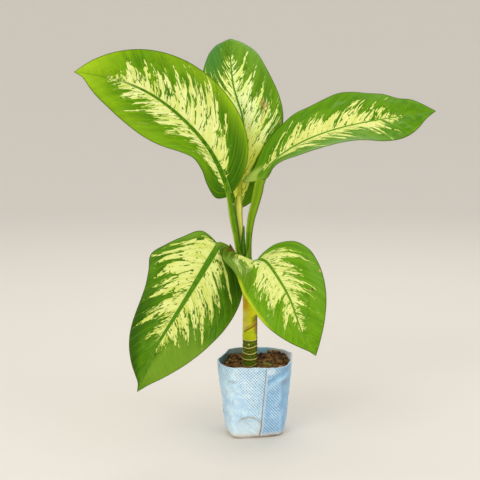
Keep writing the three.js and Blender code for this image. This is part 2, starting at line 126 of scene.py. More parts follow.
def make_mesh(name, verts_mm, quads, tris=None, uv=None, attrs=None, material=None, smooth_shade=True, materials=None, face_mat=None):
    """verts in mm; quads (n,4); tris (m,3); uv: per-vertex (V,2) or per-corner list; attrs: name -> (V,) or (V,3)."""
    me = bpy.data.meshes.new(name)
    v = np.asarray(verts_mm, float) * MM
    faces = [tuple(int(x) for x in q) for q in quads]
    if tris is not None:
        faces += [tuple(int(x) for x in t) for t in tris]
    me.from_pydata([tuple(p) for p in v], [], faces)
    me.update()
    if uv is not None:
        layer = me.uv_layers.new(name="OFBake")
        vi = np.zeros(len(me.loops), np.int32)
        me.loops.foreach_get("vertex_index", vi)
        uv = np.asarray(uv, float)
        layer.data.foreach_set("uv", (uv[vi] if len(uv) == len(v) else uv).astype(np.float32).ravel())
    for key, val in (attrs or {}).items():
        val = np.asarray(val, np.float32)
        if val.ndim == 1:
            at = me.attributes.new(key, "FLOAT", "POINT")
            at.data.foreach_set("value", val.ravel())
        else:
            at = me.attributes.new(key, "FLOAT_VECTOR", "POINT")
            at.data.foreach_set("vector", val.ravel())
    me.polygons.foreach_set("use_smooth", [smooth_shade] * len(me.polygons))
    ob = bpy.data.objects.new(name, me)
    bpy.context.scene.collection.objects.link(ob)
    if material is not None:
        me.materials.append(material)
    for m in materials or []:
        me.materials.append(m)
    if face_mat is not None:
        me.polygons.foreach_set("material_index", np.asarray(face_mat, np.int32))
    me.validate(clean_customdata=False)
    return ob


def outward(verts, quads, tris=None):
    """Flips all faces if the closed surface's volume is negative."""
    v = np.asarray(verts, float)
    q = np.asarray(quads)
    parts = []
    if len(q):
        parts += [q[:, [0, 1, 2]], q[:, [0, 2, 3]]]
    if tris is not None and len(tris):
        parts.append(np.asarray(tris))
    t = np.vstack(parts)
    vol = np.einsum("ij,ij->i", v[t[:, 0]], np.cross(v[t[:, 1]], v[t[:, 2]])).sum()
    if vol < 0:
        q = q[:, ::-1] if len(q) else q
        tris = None if tris is None else np.asarray(tris)[:, ::-1]
    return q, tris


# --------------------------------------------------------------------------
# node helpers
# --------------------------------------------------------------------------
def lin(r, g, b):
    def f(c):
        c = c / 255.0
        return c / 12.92 if c <= 0.04045 else ((c + 0.055) / 1.055) ** 2.4

    return (f(r), f(g), f(b), 1.0)


class Mat:
    def __init__(self, name):
        self.m = bpy.data.materials.new(name)
        self.m.use_nodes = True
        self.nt = self.m.node_tree
        self.nt.nodes.clear()
        self.out = self.nt.nodes.new("ShaderNodeOutputMaterial")
        self.p = self.nt.nodes.new("ShaderNodeBsdfPrincipled")
        self.nt.links.new(self.p.outputs["BSDF"], self.out.inputs["Surface"])

    def _in(self, sock, v):
        if isinstance(v, bpy.types.NodeSocket):
            self.nt.links.new(v, sock)
        elif v is not None:
            if isinstance(v, (tuple, list)) and len(v) == 3 and sock.type == "RGBA":
                v = (*v, 1.0)
            sock.default_value = v

    def attr(self, name):
        n = self.nt.nodes.new("ShaderNodeAttribute")
        n.attribute_type = "GEOMETRY"
        n.attribute_name = name
        return n

    def xyz(self, name):
        n = self.nt.nodes.new("ShaderNodeSeparateXYZ")
        self.nt.links.new(self.attr(name).outputs["Vector"], n.inputs[0])
        return n.outputs[0], n.outputs[1], n.outputs[2]

    def vec(self, x, y, z):
        n = self.nt.nodes.new("ShaderNodeCombineXYZ")
        for s, v in zip(n.inputs, (x, y, z)):
            self._in(s, v)
        return n.outputs[0]

    def math(self, op, a, b=None, c=None, clamp=False):
        n = self.nt.nodes.new("ShaderNodeMath")
        n.operation = op
        n.use_clamp = clamp
        for s, v in zip(n.inputs, (a, b, c)):
            self._in(s, v)
        return n.outputs[0]

    def add(self, a, b):
        return self.math("ADD", a, b)

    def sub(self, a, b):
        return self.math("SUBTRACT", a, b)

    def mul(self, a, b):
        return self.math("MULTIPLY", a, b)

    def madd(self, a, b, c):
        return self.math("MULTIPLY_ADD", a, b, c)

    def step(self, v, a, b, lo=0.0, hi=1.0, kind="SMOOTHSTEP"):
        n = self.nt.nodes.new("ShaderNodeMapRange")
        n.interpolation_type = kind
        n.clamp = True if kind == "LINEAR" else n.clamp
        for k, x in (("Value", v), ("From Min", a), ("From Max", b), ("To Min", lo), ("To Max", hi)):
            self._in(n.inputs[k], x)
        return n.outputs["Result"]

    def noise(self, vec, scale=1.0, detail=2.0, rough=0.5, dist=0.0, color=False):
        n = self.nt.nodes.new("ShaderNodeTexNoise")
        n.noise_dimensions = "3D"
        self._in(n.inputs["Vector"], vec)
        n.inputs["Scale"].default_value = scale
        n.inputs["Detail"].default_value = detail
        n.inputs["Roughness"].default_value = rough
        n.inputs["Distortion"].default_value = dist
        return n.outputs["Color"] if color else n.outputs["Fac"]

    def voronoi(self, vec, scale=1.0, feature="F1", out="Distance", rand=1.0):
        n = self.nt.nodes.new("ShaderNodeTexVoronoi")
        n.feature = feature
        self._in(n.inputs["Vector"], vec)
        n.inputs["Scale"].default_value = scale
        if "Randomness" in n.inputs:
            n.inputs["Randomness"].default_value = rand
        return n.outputs[out]

    def mix(self, fac, a, b, blend="MIX"):
        n = self.nt.nodes.new("ShaderNodeMix")
        n.data_type = "RGBA"
        n.blend_type = blend
        self._in(n.inputs[0], fac)
        self._in(n.inputs[6], a)
        self._in(n.inputs[7], b)
        return n.outputs[2]

    def mixf(self, fac, a, b):
        n = self.nt.nodes.new("ShaderNodeMix")
        n.data_type = "FLOAT"
        self._in(n.inputs[0], fac)
        self._in(n.inputs[2], a)
        self._in(n.inputs[3], b)
        return n.outputs[0]

    def curve(self, v, points):
        """Straight lines through the given (x, y) points, x from 0 to 1; y is kept within -0.2 and 1."""
        n = self.nt.nodes.new("ShaderNodeFloatCurve")
        cm = n.mapping
        cm.use_clip = False
        cm.extend = "HORIZONTAL"
        c = cm.curves[0]
        c.points[0].location = points[0]
        c.points[1].location = points[-1]
        for p in points[1:-1]:
            c.points.new(*p)
        for p in c.points:
            p.handle_type = "VECTOR"
        cm.update()
        self._in(n.inputs["Value"], self.math("MINIMUM", self.math("MAXIMUM", v, 0.0), 1.0))
        n.inputs["Factor"].default_value = 1.0
        return n.outputs[0]

    def objco(self):
        n = self.nt.nodes.new("ShaderNodeTexCoord")
        return n.outputs["Object"]

    def bump(self, height, strength=0.3, distance=0.001, normal=None):
        n = self.nt.nodes.new("ShaderNodeBump")
        n.inputs["Strength"].default_value = strength
        n.inputs["Distance"].default_value = distance
        self._in(n.inputs["Height"], height)
        if normal is not None:
            self._in(n.inputs["Normal"], normal)
        return n.outputs["Normal"]

    def set(self, **kw):
        for k, v in kw.items():
            self._in(self.p.inputs[k.replace("_", " ")], v)
        return self.m


# Leaf outlines: 17 rows from stalk to tip, at the midrib and both margins, in mm.
LEAVES = {
 'upperLeft': dict(
  mid=[[-32.9, -16.0, 310.3], [-37.0, -17.6, 326.4], [-42.8, -19.3, 342.0], [-50.0, -21.0, 357.0], [-58.6, -22.7, 371.3], [-68.4, -24.6, 384.8], [-79.2, -27.0, 397.4], [-90.8, -29.9, 409.1], [-102.9, -33.5, 420.1], [-115.6, -37.5, 430.2], [-129.1, -41.9, 439.2], [-143.1, -47.1, 446.6], [-157.6, -53.1, 452.7], [-172.3, -59.7, 457.3], [-186.8, -67.3, 460.6], [-201.0, -75.8, 463.1], [-214.8, -85.0, 465.3]],
  left=[[-32.9, -16.0, 310.3], [-49.3, -22.1, 309.6], [-59.9, -29.6, 326.9], [-66.2, -37.8, 345.8], [-76.6, -45.3, 361.4], [-92.6, -52.5, 369.2], [-108.9, -58.0, 374.7], [-123.9, -63.0, 381.5], [-137.5, -67.5, 389.7], [-149.9, -71.0, 398.7], [-161.2, -74.4, 408.3], [-171.6, -77.9, 418.3], [-181.2, -80.5, 428.3], [-190.0, -82.7, 438.4], [-198.0, -83.8, 448.6], [-205.1, -84.6, 458.9], [-214.8, -85.0, 465.3]],
  right=[[-32.9, -16.0, 310.3], [-19.5, -14.5, 328.2], [-11.1, -12.8, 348.9], [-8.3, -11.4, 371.0], [-11.4, -10.9, 393.1], [-19.3, -11.0, 413.9], [-30.8, -13.0, 432.9], [-44.8, -15.9, 450.0], [-61.1, -19.5, 464.7], [-79.2, -24.0, 476.7], [-98.8, -29.5, 485.6], [-119.3, -35.9, 491.2], [-140.3, -43.5, 493.3], [-161.0, -52.1, 491.5], [-180.7, -62.4, 486.1], [-198.9, -73.5, 477.3], [-214.8, -85.0, 465.3]]),
 'topBack': dict(
  mid=[[-18.4, 10.0, 292.1], [-19.0, 11.5, 310.0], [-18.9, 13.7, 327.9], [-17.8, 17.0, 345.6], [-15.9, 20.8, 363.0], [-14.3, 24.6, 380.5], [-14.3, 28.5, 398.1], [-17.3, 33.0, 415.2], [-22.5, 38.3, 431.6], [-27.2, 44.6, 447.8], [-29.7, 51.8, 464.1], [-31.1, 60.2, 479.9], [-32.1, 69.7, 495.1], [-32.2, 80.8, 509.4], [-30.1, 94.0, 508.6], [-29.7, 107.0, 496.2], [-28.5, 120.0, 483.9]],
  left=[[-18.4, 10.0, 292.1], [-31.5, 11.5, 303.0], [-39.9, 13.6, 318.3], [-47.5, 15.7, 333.9], [-53.8, 17.9, 349.8], [-58.9, 20.4, 366.0], [-62.7, 23.1, 382.3], [-65.6, 26.4, 398.7], [-67.8, 31.3, 414.9], [-69.4, 37.6, 431.1], [-69.8, 44.8, 447.3], [-68.4, 53.2, 463.4], [-64.6, 63.6, 479.0], [-57.7, 77.2, 493.6], [-46.2, 93.2, 504.3], [-32.5, 109.0, 498.6], [-28.5, 120.0, 483.9]],
  right=[[-18.4, 10.0, 292.1], [-3.3, 13.2, 301.6], [5.4, 15.6, 317.2], [12.0, 17.4, 333.8], [19.1, 19.2, 349.9], [26.2, 21.3, 365.8], [32.3, 23.6, 381.9], [36.2, 26.6, 398.5], [36.7, 31.3, 415.3], [33.6, 37.6, 431.6], [28.1, 44.8, 447.2], [21.1, 53.2, 462.2], [13.4, 63.6, 476.8], [4.6, 77.2, 490.8], [-8.1, 93.2, 501.2], [-23.4, 109.0, 498.6], [-28.5, 120.0, 483.9]]),
 'right': dict(
  mid=[[3.8, -6.0, 329.6], [12.7, -7.2, 342.0], [23.1, -8.4, 353.3], [34.7, -9.7, 363.2], [47.4, -10.9, 371.8], [60.8, -12.2, 379.2], [74.7, -13.4, 385.5], [89.0, -14.6, 390.9], [103.6, -15.9, 395.5], [118.4, -17.1, 399.4], [133.3, -18.4, 402.8], [148.3, -19.7, 405.8], [163.4, -20.9, 408.4], [178.5, -22.2, 410.9], [193.6, -23.5, 413.3], [208.7, -24.7, 415.7], [223.8, -26.0, 418.3]],
  left=[[3.8, -6.0, 329.6], [-15.6, -1.0, 328.4], [-0.6, 3.3, 346.3], [8.4, 8.0, 366.9], [20.5, 13.2, 384.8], [35.3, 16.6, 400.4], [51.5, 18.7, 413.9], [70.3, 19.3, 422.4], [88.2, 18.1, 431.5], [106.2, 16.9, 439.0], [125.4, 15.3, 440.7], [144.1, 11.3, 439.9], [162.2, 6.1, 438.8], [179.1, -0.5, 434.0], [195.7, -8.7, 432.0], [210.4, -17.0, 425.5], [223.8, -26.0, 418.3]],
  right=[[3.8, -6.0, 329.6], [15.8, -15.6, 334.5], [23.9, -29.8, 348.9], [36.2, -41.3, 358.7], [50.3, -50.6, 364.6], [64.7, -56.9, 369.4], [79.2, -61.5, 373.7], [93.7, -64.6, 377.9], [108.5, -65.3, 381.3], [123.7, -64.6, 383.1], [139.1, -63.3, 383.3], [154.8, -60.8, 383.1], [170.6, -56.9, 384.3], [186.0, -50.6, 388.9], [199.6, -42.2, 397.4], [210.8, -34.2, 408.8], [223.8, -26.0, 418.3]]),
 'lowerLeft': dict(
  mid=[[-45.4, -30.0, 252.4], [-51.5, -37.0, 242.8], [-57.6, -43.7, 233.1], [-63.9, -50.3, 223.4], [-70.3, -56.5, 213.5], [-76.8, -62.4, 203.4], [-83.3, -68.1, 193.4], [-90.0, -73.6, 183.2], [-96.8, -78.7, 173.0], [-103.7, -83.4, 162.6], [-110.6, -88.0, 152.2], [-117.4, -92.2, 141.5], [-123.9, -95.6, 130.4], [-130.1, -98.3, 118.9], [-135.6, -100.7, 107.1], [-140.2, -102.6, 94.7], [-143.7, -104.0, 82.0]],
  left=[[-45.4, -30.0, 252.4], [-67.0, -33.7, 269.5], [-91.0, -40.0, 262.8], [-112.2, -48.8, 253.9], [-129.0, -58.3, 243.6], [-131.3, -66.8, 225.3], [-134.3, -75.0, 208.7], [-139.1, -82.7, 194.0], [-144.4, -88.7, 180.0], [-149.1, -93.2, 166.2], [-152.1, -97.1, 152.7], [-153.0, -100.3, 139.5], [-151.9, -102.7, 126.9], [-149.5, -103.8, 114.8], [-145.8, -104.4, 103.5], [-142.6, -104.6, 92.7], [-143.7, -104.0, 82.0]],
  right=[[-45.4, -30.0, 252.4], [-32.6, -28.2, 238.8], [-23.2, -30.5, 223.8], [-16.8, -34.4, 208.3], [-15.8, -38.9, 192.5], [-19.4, -44.4, 178.3], [-25.6, -50.9, 166.1], [-33.2, -57.9, 155.2], [-42.2, -64.7, 144.9], [-52.3, -71.7, 135.3], [-63.2, -79.0, 126.6], [-74.9, -85.7, 118.6], [-87.4, -91.1, 110.8], [-100.7, -95.5, 103.5], [-114.8, -99.3, 96.6], [-129.4, -102.1, 90.1], [-143.7, -104.0, 82.0]]),
 'lowerRight': dict(
  mid=[[0.0, -18.0, 227.6], [6.7, -25.6, 231.0], [12.4, -34.6, 230.5], [16.7, -44.1, 228.0], [20.9, -53.0, 223.7], [25.2, -61.2, 218.4], [29.6, -69.0, 212.5], [34.0, -76.6, 206.3], [38.2, -83.8, 199.5], [42.0, -90.4, 192.0], [45.4, -96.2, 183.7], [48.6, -101.3, 174.8], [51.8, -105.9, 165.6], [55.4, -110.1, 156.4], [59.6, -113.9, 147.3], [64.9, -117.2, 138.6], [71.5, -120.0, 130.6]],
  left=[[0.0, -18.0, 227.6], [-20.0, -23.8, 236.8], [-37.0, -33.0, 249.7], [-40.9, -46.3, 238.5], [-26.7, -60.3, 223.5], [-20.3, -71.6, 210.8], [-15.8, -81.2, 199.7], [-10.0, -90.0, 190.6], [-3.4, -97.8, 181.5], [4.3, -103.9, 172.4], [12.7, -108.2, 164.0], [22.0, -111.6, 156.6], [31.8, -114.4, 150.3], [41.9, -116.3, 144.9], [52.1, -117.7, 140.3], [62.3, -119.0, 136.1], [71.5, -120.0, 130.6]],
  right=[[0.0, -18.0, 227.6], [11.9, -20.7, 241.1], [28.1, -28.7, 252.8], [49.6, -39.2, 257.0], [66.3, -49.7, 249.2], [74.8, -59.6, 238.5], [79.9, -69.6, 228.2], [82.8, -79.5, 218.3], [84.5, -87.8, 208.3], [85.0, -94.4, 198.3], [84.7, -100.2, 188.7], [83.6, -105.3, 179.3], [82.1, -109.5, 169.8], [80.0, -112.7, 159.9], [77.5, -115.3, 150.1], [74.7, -117.8, 140.3], [71.5, -120.0, 130.6]]),
}


# --------------------------------------------------------------------------
# leaf blades
# --------------------------------------------------------------------------
# Reach of the cream variegation, as (position along the midrib, share of the
# way to the margin) at the tips of its longest tongues on each side.
SPEC = {
    "upperLeft": dict(
        node="leaf_upper_left", tongue=1.9, thin=0.24, fleck=0.613, seed=1.0, ad=-1, crown=3.0, wm=(3.9, 0.8), G=(0.22, 0.22), veins=17,
        left=[(0.05, 0.0), (0.09, 0.24), (0.15, 0.56), (0.208, 0.60), (0.263, 0.55), (0.333, 0.55), (0.417, 0.55), (0.467, 0.52),
              (0.517, 0.56), (0.571, 0.49), (0.65, 0.55), (0.725, 0.56), (0.79, 0.34), (0.84, 0.0)],
        right=[(0.085, 0.0), (0.125, 0.28), (0.167, 0.41), (0.221, 0.54), (0.271, 0.57), (0.308, 0.60), (0.375, 0.71), (0.433, 0.79), (0.479, 0.79),
               (0.533, 0.75), (0.596, 0.71), (0.633, 0.69), (0.717, 0.71), (0.775, 0.58), (0.83, 0.10)],
        stalk=[(-19.3, -3.8, 225.6), (-21.2, -4.2, 240), (-24.6, -6.5, 260.5), (-28.6, -10.5, 284)], r=(2.85, 2.9),
        green=(100, 150, 0), dark=(52, 104, 0), light=(140, 182, 8), tip=(178, 214, 32), base=(26, 80, 0),
        cream=(234, 238, 158), cream2=(212, 224, 114), rib=(44, 100, 0), cool=(84, 146, 34),
    ),
    "topBack": dict(
        node="leaf_top_back", seed=5.0, ad=-1, crown=2.6, fill=0.46, thin=0.30, tongue=2.4, fleck=0.61, wm=(2.2, 0.5), G=(0.40, 0.40), veins=17,
        left=[(0.0, 0.45), (0.05, 0.72), (0.108, 0.84), (0.25, 0.84), (0.40, 0.80), (0.55, 0.70), (0.658, 0.60), (0.72, 0.46), (0.76, 0.12), (0.78, 0.0)],
        right=[(0.0, 0.0), (0.05, 0.0), (0.085, 0.30), (0.22, 0.75), (0.28, 0.85), (0.308, 0.86), (0.404, 0.90), (0.508, 0.88), (0.583, 0.80),
               (0.662, 0.72), (0.72, 0.52), (0.77, 0.15), (0.79, 0.0)],
        stalk=[(-14.0, 4.8, 225.6), (-16.4, 5.0, 240), (-17.7, 6.5, 262)], r=(3.0, 2.7),
        green=(98, 144, 14), dark=(44, 92, 0), light=(126, 166, 30), tip=(118, 164, 46), base=(66, 114, 0),
        cream=(238, 248, 178), cream2=(216, 232, 112), rib=(56, 122, 40), cool=(66, 128, 56),
    ),
    "right": dict(
        node="leaf_right", seed=9.0, ad=-1, crown=2.8, fill=0.4, tongue=1.8, wm=(2.6, 0.5), G=(0.22, 0.24), veins=16,
        left=[(0.06, 0.0), (0.129, 0.45), (0.183, 0.48), (0.275, 0.48), (0.329, 0.56), (0.383, 0.65), (0.475, 0.58), (0.575, 0.68), (0.646, 0.61),
              (0.733, 0.52), (0.78, 0.30), (0.83, 0.0)],
        right=[(0.06, 0.0), (0.12, 0.30), (0.196, 0.43), (0.279, 0.58), (0.375, 0.84), (0.471, 0.75), (0.546, 0.71), (0.637, 0.64), (0.738, 0.71),
               (0.796, 0.30), (0.84, 0.0)],
        stalk=[(-7.4, -2.3, 225.6), (-8.0, -2.2, 240), (-7.2, -2.4, 260), (-4.3, -3, 283), (0.0, -4, 303)], r=(3.1, 3.7),
        green=(90, 140, 6), dark=(54, 106, 0), light=(120, 166, 20), tip=(98, 148, 14), base=(84, 134, 6),
        cream=(232, 232, 144), cream2=(212, 220, 112), rib=(80, 136, 8), cool=(126, 162, 88),
    ),
    "lowerLeft": dict(
        node="leaf_lower_left", tongue=1.15, fill=0.52, thin=0.22, base_fill=0.16, seed=13.0, ad=1, crown=2.8, fleck=0.615, pleat=1.7, wm=(4.8, 0.8), G=(0.18, 0.34), veins=14,
        left=[(0.0, 0.30), (0.05, 0.62), (0.113, 0.80), (0.158, 0.88), (0.221, 0.90), (0.263, 0.80), (0.292, 0.64), (0.35, 0.70), (0.425, 0.76),
              (0.504, 0.74), (0.562, 0.75), (0.654, 0.50), (0.746, 0.10), (0.78, 0.0)],
        right=[(0.03, 0.0), (0.06, 0.36), (0.113, 0.55), (0.188, 0.56), (0.271, 0.58), (0.358, 0.64), (0.446, 0.63), (0.558, 0.73), (0.613, 0.64),
               (0.658, 0.41), (0.72, 0.0)],
        stalk=[(-23.3, -5.6, 211), (-25.6, -9.4, 226), (-30.6, -15.6, 239.6), (-37, -23, 248.2)], r=(3.3, 3.0),
        green=(80, 130, 6), dark=(38, 82, 0), light=(110, 156, 28), tip=(124, 160, 44), base=(34, 70, 0),
        cream=(224, 230, 138), cream2=(200, 212, 96), rib=(66, 120, 6), cool=(98, 146, 60),
    ),
    "lowerRight": dict(
        node="leaf_lower_right", tongue=1.45, fleck=0.63, thin=0.20, seed=17.0, ad=1, crown=2.4, dip=7.0, wm=(2.7, 0.5), G=(0.26, 0.24), veins=12,
        left=[(0.02, 0.50), (0.06, 0.72), (0.10, 0.74), (0.16, 0.80), (0.22, 0.74), (0.267, 0.72), (0.358, 0.74), (0.438, 0.62), (0.554, 0.57), (0.704, 0.65),
              (0.76, 0.25), (0.81, 0.05), (0.84, 0.0)],
        right=[(0.0, 0.1), (0.03, 0.34), (0.083, 0.42), (0.208, 0.57), (0.292, 0.66), (0.35, 0.64), (0.512, 0.62), (0.633, 0.48), (0.717, 0.40),
               (0.796, 0.24), (0.84, 0.0)],
        stalk=[(-4.6, -12.9, 193), (-4.0, -13.9, 206), (-2.0, -16.0, 219)], r=(3.3, 3.0),
        green=(104, 154, 10), dark=(66, 116, 0), light=(132, 176, 30), tip=(118, 166, 24), base=(72, 90, 6),
        cream=(230, 234, 146), cream2=(210, 220, 114), rib=(80, 130, 8), cool=(108, 156, 56),
    ),
}


# Tips of the single cream tongues and the green bays between them, where they
# can be told apart: (side vein coordinate, share of the way to the margin).
ARMS = {
    "upperLeft": dict(
        left=[(0.0, -0.05), (0.025, 0.0), (0.05, 0.44), (0.077, 0.26), (0.114, 0.59), (0.149, 0.57), (0.208, 0.40), (0.248, 0.50), (0.29, 0.32),
              (0.302, 0.56), (0.325, 0.54), (0.37, 0.36), (0.385, 0.60), (0.41, 0.56), (0.435, 0.42), (0.48, 0.50), (0.503, 0.74), (0.52, 0.46), (0.549, 0.35),
              (0.56, 0.56), (0.59, 0.29), (0.63, 0.50), (0.654, 0.57), (0.682, 0.33), (0.719, 0.50), (0.745, 0.20), (0.772, 0.14), (0.797, 0.32),
              (0.82, 0.05), (0.84, -0.05), (1.0, -0.05)],
        right=[(0.0, -0.05), (0.07, -0.05), (0.097, 0.36), (0.115, 0.22), (0.135, 0.57), (0.155, 0.40), (0.177, 0.69), (0.215, 0.43), (0.242, 0.74),
               (0.257, 0.58), (0.275, 0.84), (0.29, 0.77), (0.316, 0.54), (0.334, 0.74), (0.344, 0.58), (0.355, 0.78), (0.370, 0.50), (0.385, 0.79),
               (0.415, 0.42), (0.441, 0.58), (0.447, 0.45), (0.458, 0.79), (0.488, 0.26), (0.515, 0.63), (0.535, 0.35), (0.557, 0.56), (0.57, 0.42),
               (0.586, 0.57), (0.602, 0.24), (0.624, 0.74), (0.642, 0.16), (0.664, 0.40), (0.695, 0.60), (0.722, 0.64), (0.742, 0.26), (0.762, 0.08),
               (0.79, 0.24), (0.806, 0.08), (0.823, 0.18), (0.84, -0.05), (1.0, -0.05)],
    ),
    "topBack": dict(
        left=[(0.0, 0.50), (0.06, 0.80), (0.10, 0.60), (0.15, 0.84), (0.20, 0.60), (0.25, 0.80), (0.30, 0.56), (0.35, 0.76), (0.39, 0.46), (0.41, 0.60),
              (0.43, 0.34), (0.454, 0.56), (0.475, 0.28), (0.49, 0.38), (0.505, 0.34), (0.524, 0.56), (0.55, 0.30), (0.60, 0.18), (0.63, 0.08),
              (0.664, 0.26), (0.69, 0.0), (0.72, -0.05), (1.0, -0.05)],
        right=[(0.0, 0.30), (0.05, 0.52), (0.075, 0.36), (0.097, 0.56), (0.115, 0.74), (0.14, 0.58), (0.165, 0.85), (0.19, 0.68), (0.211, 0.46),
               (0.238, 0.75), (0.26, 0.52), (0.28, 0.75), (0.30, 0.58), (0.328, 0.45), (0.346, 0.66), (0.368, 0.75), (0.390, 0.44), (0.425, 0.36),
               (0.461, 0.62), (0.477, 0.32), (0.499, 0.62), (0.525, 0.20), (0.552, 0.10), (0.575, 0.34), (0.596, 0.46), (0.618, 0.08), (0.65, 0.04),
               (0.70, 0.06), (0.725, -0.05), (1.0, -0.05)],
    ),
    "lowerLeft": dict(
        left=[(0.0, 0.40), (0.03, 0.60), (0.052, 0.81), (0.066, 0.68), (0.080, 0.80), (0.090, 0.91), (0.104, 0.62), (0.125, 0.76), (0.151, 0.53),
              (0.182, 0.74), (0.208, 0.50), (0.222, 0.44), (0.240, 0.75), (0.262, 0.55), (0.289, 0.81), (0.32, 0.48), (0.350, 0.31), (0.382, 0.75),
              (0.402, 0.58), (0.437, 0.81), (0.462, 0.40), (0.50, 0.29), (0.534, 0.33), (0.575, 0.52), (0.60, 0.48), (0.622, 0.12), (0.66, 0.02),
              (0.70, -0.05), (1.0, -0.05)],
        right=[(0.0, 0.20), (0.03, 0.46), (0.048, 0.74), (0.075, 0.54), (0.112, 0.42), (0.135, 0.52), (0.15, 0.44), (0.168, 0.64), (0.190, 0.60),
               (0.20, 0.42), (0.230, 0.54), (0.256, 0.70), (0.282, 0.47), (0.310, 0.56), (0.334, 0.75), (0.353, 0.42), (0.372, 0.34), (0.396, 0.64),
               (0.412, 0.30), (0.426, 0.15), (0.455, 0.58), (0.49, 0.40), (0.525, 0.28), (0.564, 0.45), (0.59, 0.34), (0.616, 0.30), (0.64, 0.18),
               (0.668, 0.15), (0.70, 0.10), (0.747, 0.04), (0.765, -0.05), (1.0, -0.05)],
    ),
    "lowerRight": dict(
        left=[(0.0, 0.60), (0.03, 0.76), (0.06, 0.82), (0.082, 0.62), (0.098, 0.74), (0.123, 0.50), (0.145, 0.40), (0.164, 0.42), (0.184, 0.75),
              (0.215, 0.60), (0.257, 0.69), (0.275, 0.54), (0.299, 0.63), (0.318, 0.40), (0.350, 0.52), (0.38, 0.68), (0.41, 0.58), (0.447, 0.55),
              (0.475, 0.30), (0.494, 0.14), (0.540, 0.40), (0.607, 0.63), (0.622, 0.20), (0.645, 0.08), (0.675, 0.12), (0.709, 0.28), (0.722, 0.05),
              (0.76, 0.02), (0.795, 0.06), (0.82, -0.05), (1.0, -0.05)],
        right=[(0.0, 0.20), (0.03, 0.46), (0.055, 0.60), (0.079, 0.79), (0.10, 0.54), (0.122, 0.75), (0.142, 0.48), (0.166, 0.40), (0.190, 0.45),
               (0.214, 0.63), (0.243, 0.35), (0.277, 0.57), (0.305, 0.28), (0.343, 0.69), (0.358, 0.40), (0.374, 0.28), (0.396, 0.48), (0.405, 0.38),
               (0.418, 0.69), (0.436, 0.28), (0.469, 0.23), (0.50, 0.34), (0.544, 0.50), (0.575, 0.23), (0.619, 0.22), (0.659, 0.44), (0.685, 0.20),
               (0.709, 0.13), (0.74, 0.22), (0.763, 0.34), (0.785, 0.05), (0.80, -0.05), (1.0, -0.05)],
    ),
}


def vein_gain(u, side_gain):
    start = 0.55 if np.max(side_gain) < 0.36 else 0.72
    return side_gain * (0.3 + 0.7 * smooth(u, 0.0, 0.3)) * (1 - smooth(u, start, 1.03))


def vein_q(u, s, spec):
    g = np.where(np.asarray(s) < 0, spec["G"][0], spec["G"][1])
    return u - vein_gain(u, g) * np.abs(s) ** 1.2


def reach(q, s, spec):
    out = np.zeros_like(q)
    for side, sg in (("left", -1.0), ("right", 1.0)):
        uu = np.array([p[0] for p in spec[side]])
        ss = np.array([p[1] for p in spec[side]])
        qq = vein_q(uu, sg * ss, spec)
        order = np.argsort(qq)
        val = np.interp(q, qq[order], ss[order], left=-0.15, right=-0.15)
        out = np.where((s * sg >= 0), val, out)
    # fade past both ends, so the tongues there thin out
    return out


def blade_frame(key):
    """Grid of one blade: surface points, adaxial normals and leaf coordinates."""
    spec, L = SPEC[key], LEAVES[key]
    mid, left, right = (np.array(L[k], float) for k in ("mid", "left", "right"))
    nr = 150
    t = np.linspace(0, 1, nr)
    u = 0.62 * t + 0.38 * (0.5 - 0.5 * np.cos(np.pi * t))
    M, EL, ER = catmull(mid, u), catmull(left, u), catmull(right, u)
    wl, wr = np.linalg.norm(EL - M, axis=1), np.linalg.norm(ER - M, axis=1)
    wm = spec["wm"][0] + (spec["wm"][1] - spec["wm"][0]) * u**0.75
    near = np.array([0.35, 0.7, 1.0, 1.35, 1.9])
    far = np.array([0.03, 0.065, 0.105, 0.15, 0.2, 0.255, 0.315, 0.38, 0.445, 0.51, 0.575, 0.64, 0.70, 0.76, 0.815, 0.865, 0.91, 0.945, 0.972, 0.99, 1.0])
    rows = []
    for k in range(nr):
        cols = []
        for w, sg in ((wl[k], -1), (wr[k], 1)):
            sc = min(wm[k] / max(w, 1e-6), 0.28)
            a = near * sc
            a = np.concatenate([a, a[-1] + (1 - a[-1]) * far])
            cols.append(sg * a)
        rows.append(np.concatenate([cols[0][::-1], [0.0], cols[1]]))
    s = np.array(rows)
    uu = np.repeat(u[:, None], s.shape[1], 1)
    md = np.where(s < 0, np.abs(s) * wl[:, None], np.abs(s) * wr[:, None]) / np.maximum(wm[:, None], 1e-6)
    E = np.where((s < 0)[..., None], EL[:, None, :], ER[:, None, :])
    P = M[:, None, :] + (E - M[:, None, :]) * np.abs(s)[..., None]
    w = np.where(s < 0, wl[:, None], wr[:, None])
    # normals
    Pu = np.gradient(P, axis=0)
    Ps = np.gradient(P, axis=1)
    N = unit(np.cross(Pu, Ps)) * spec["ad"]
    N[0], N[-1] = N[1], N[-2]
    c = s.shape[1] // 2
    Nm = unit(N[:, c - 7] + N[:, c + 7])
    f = smooth(md, 0.0, 3.2)[..., None]
    N = unit(Nm[:, None, :] * (1 - f) + N * f)
    return dict(spec=spec, L=L, u=u, uu=uu, s=s, md=md, w=w, wl=wl, wr=wr, wm=wm, P=P, N=N, Nm=Nm, M=M, mid=mid)


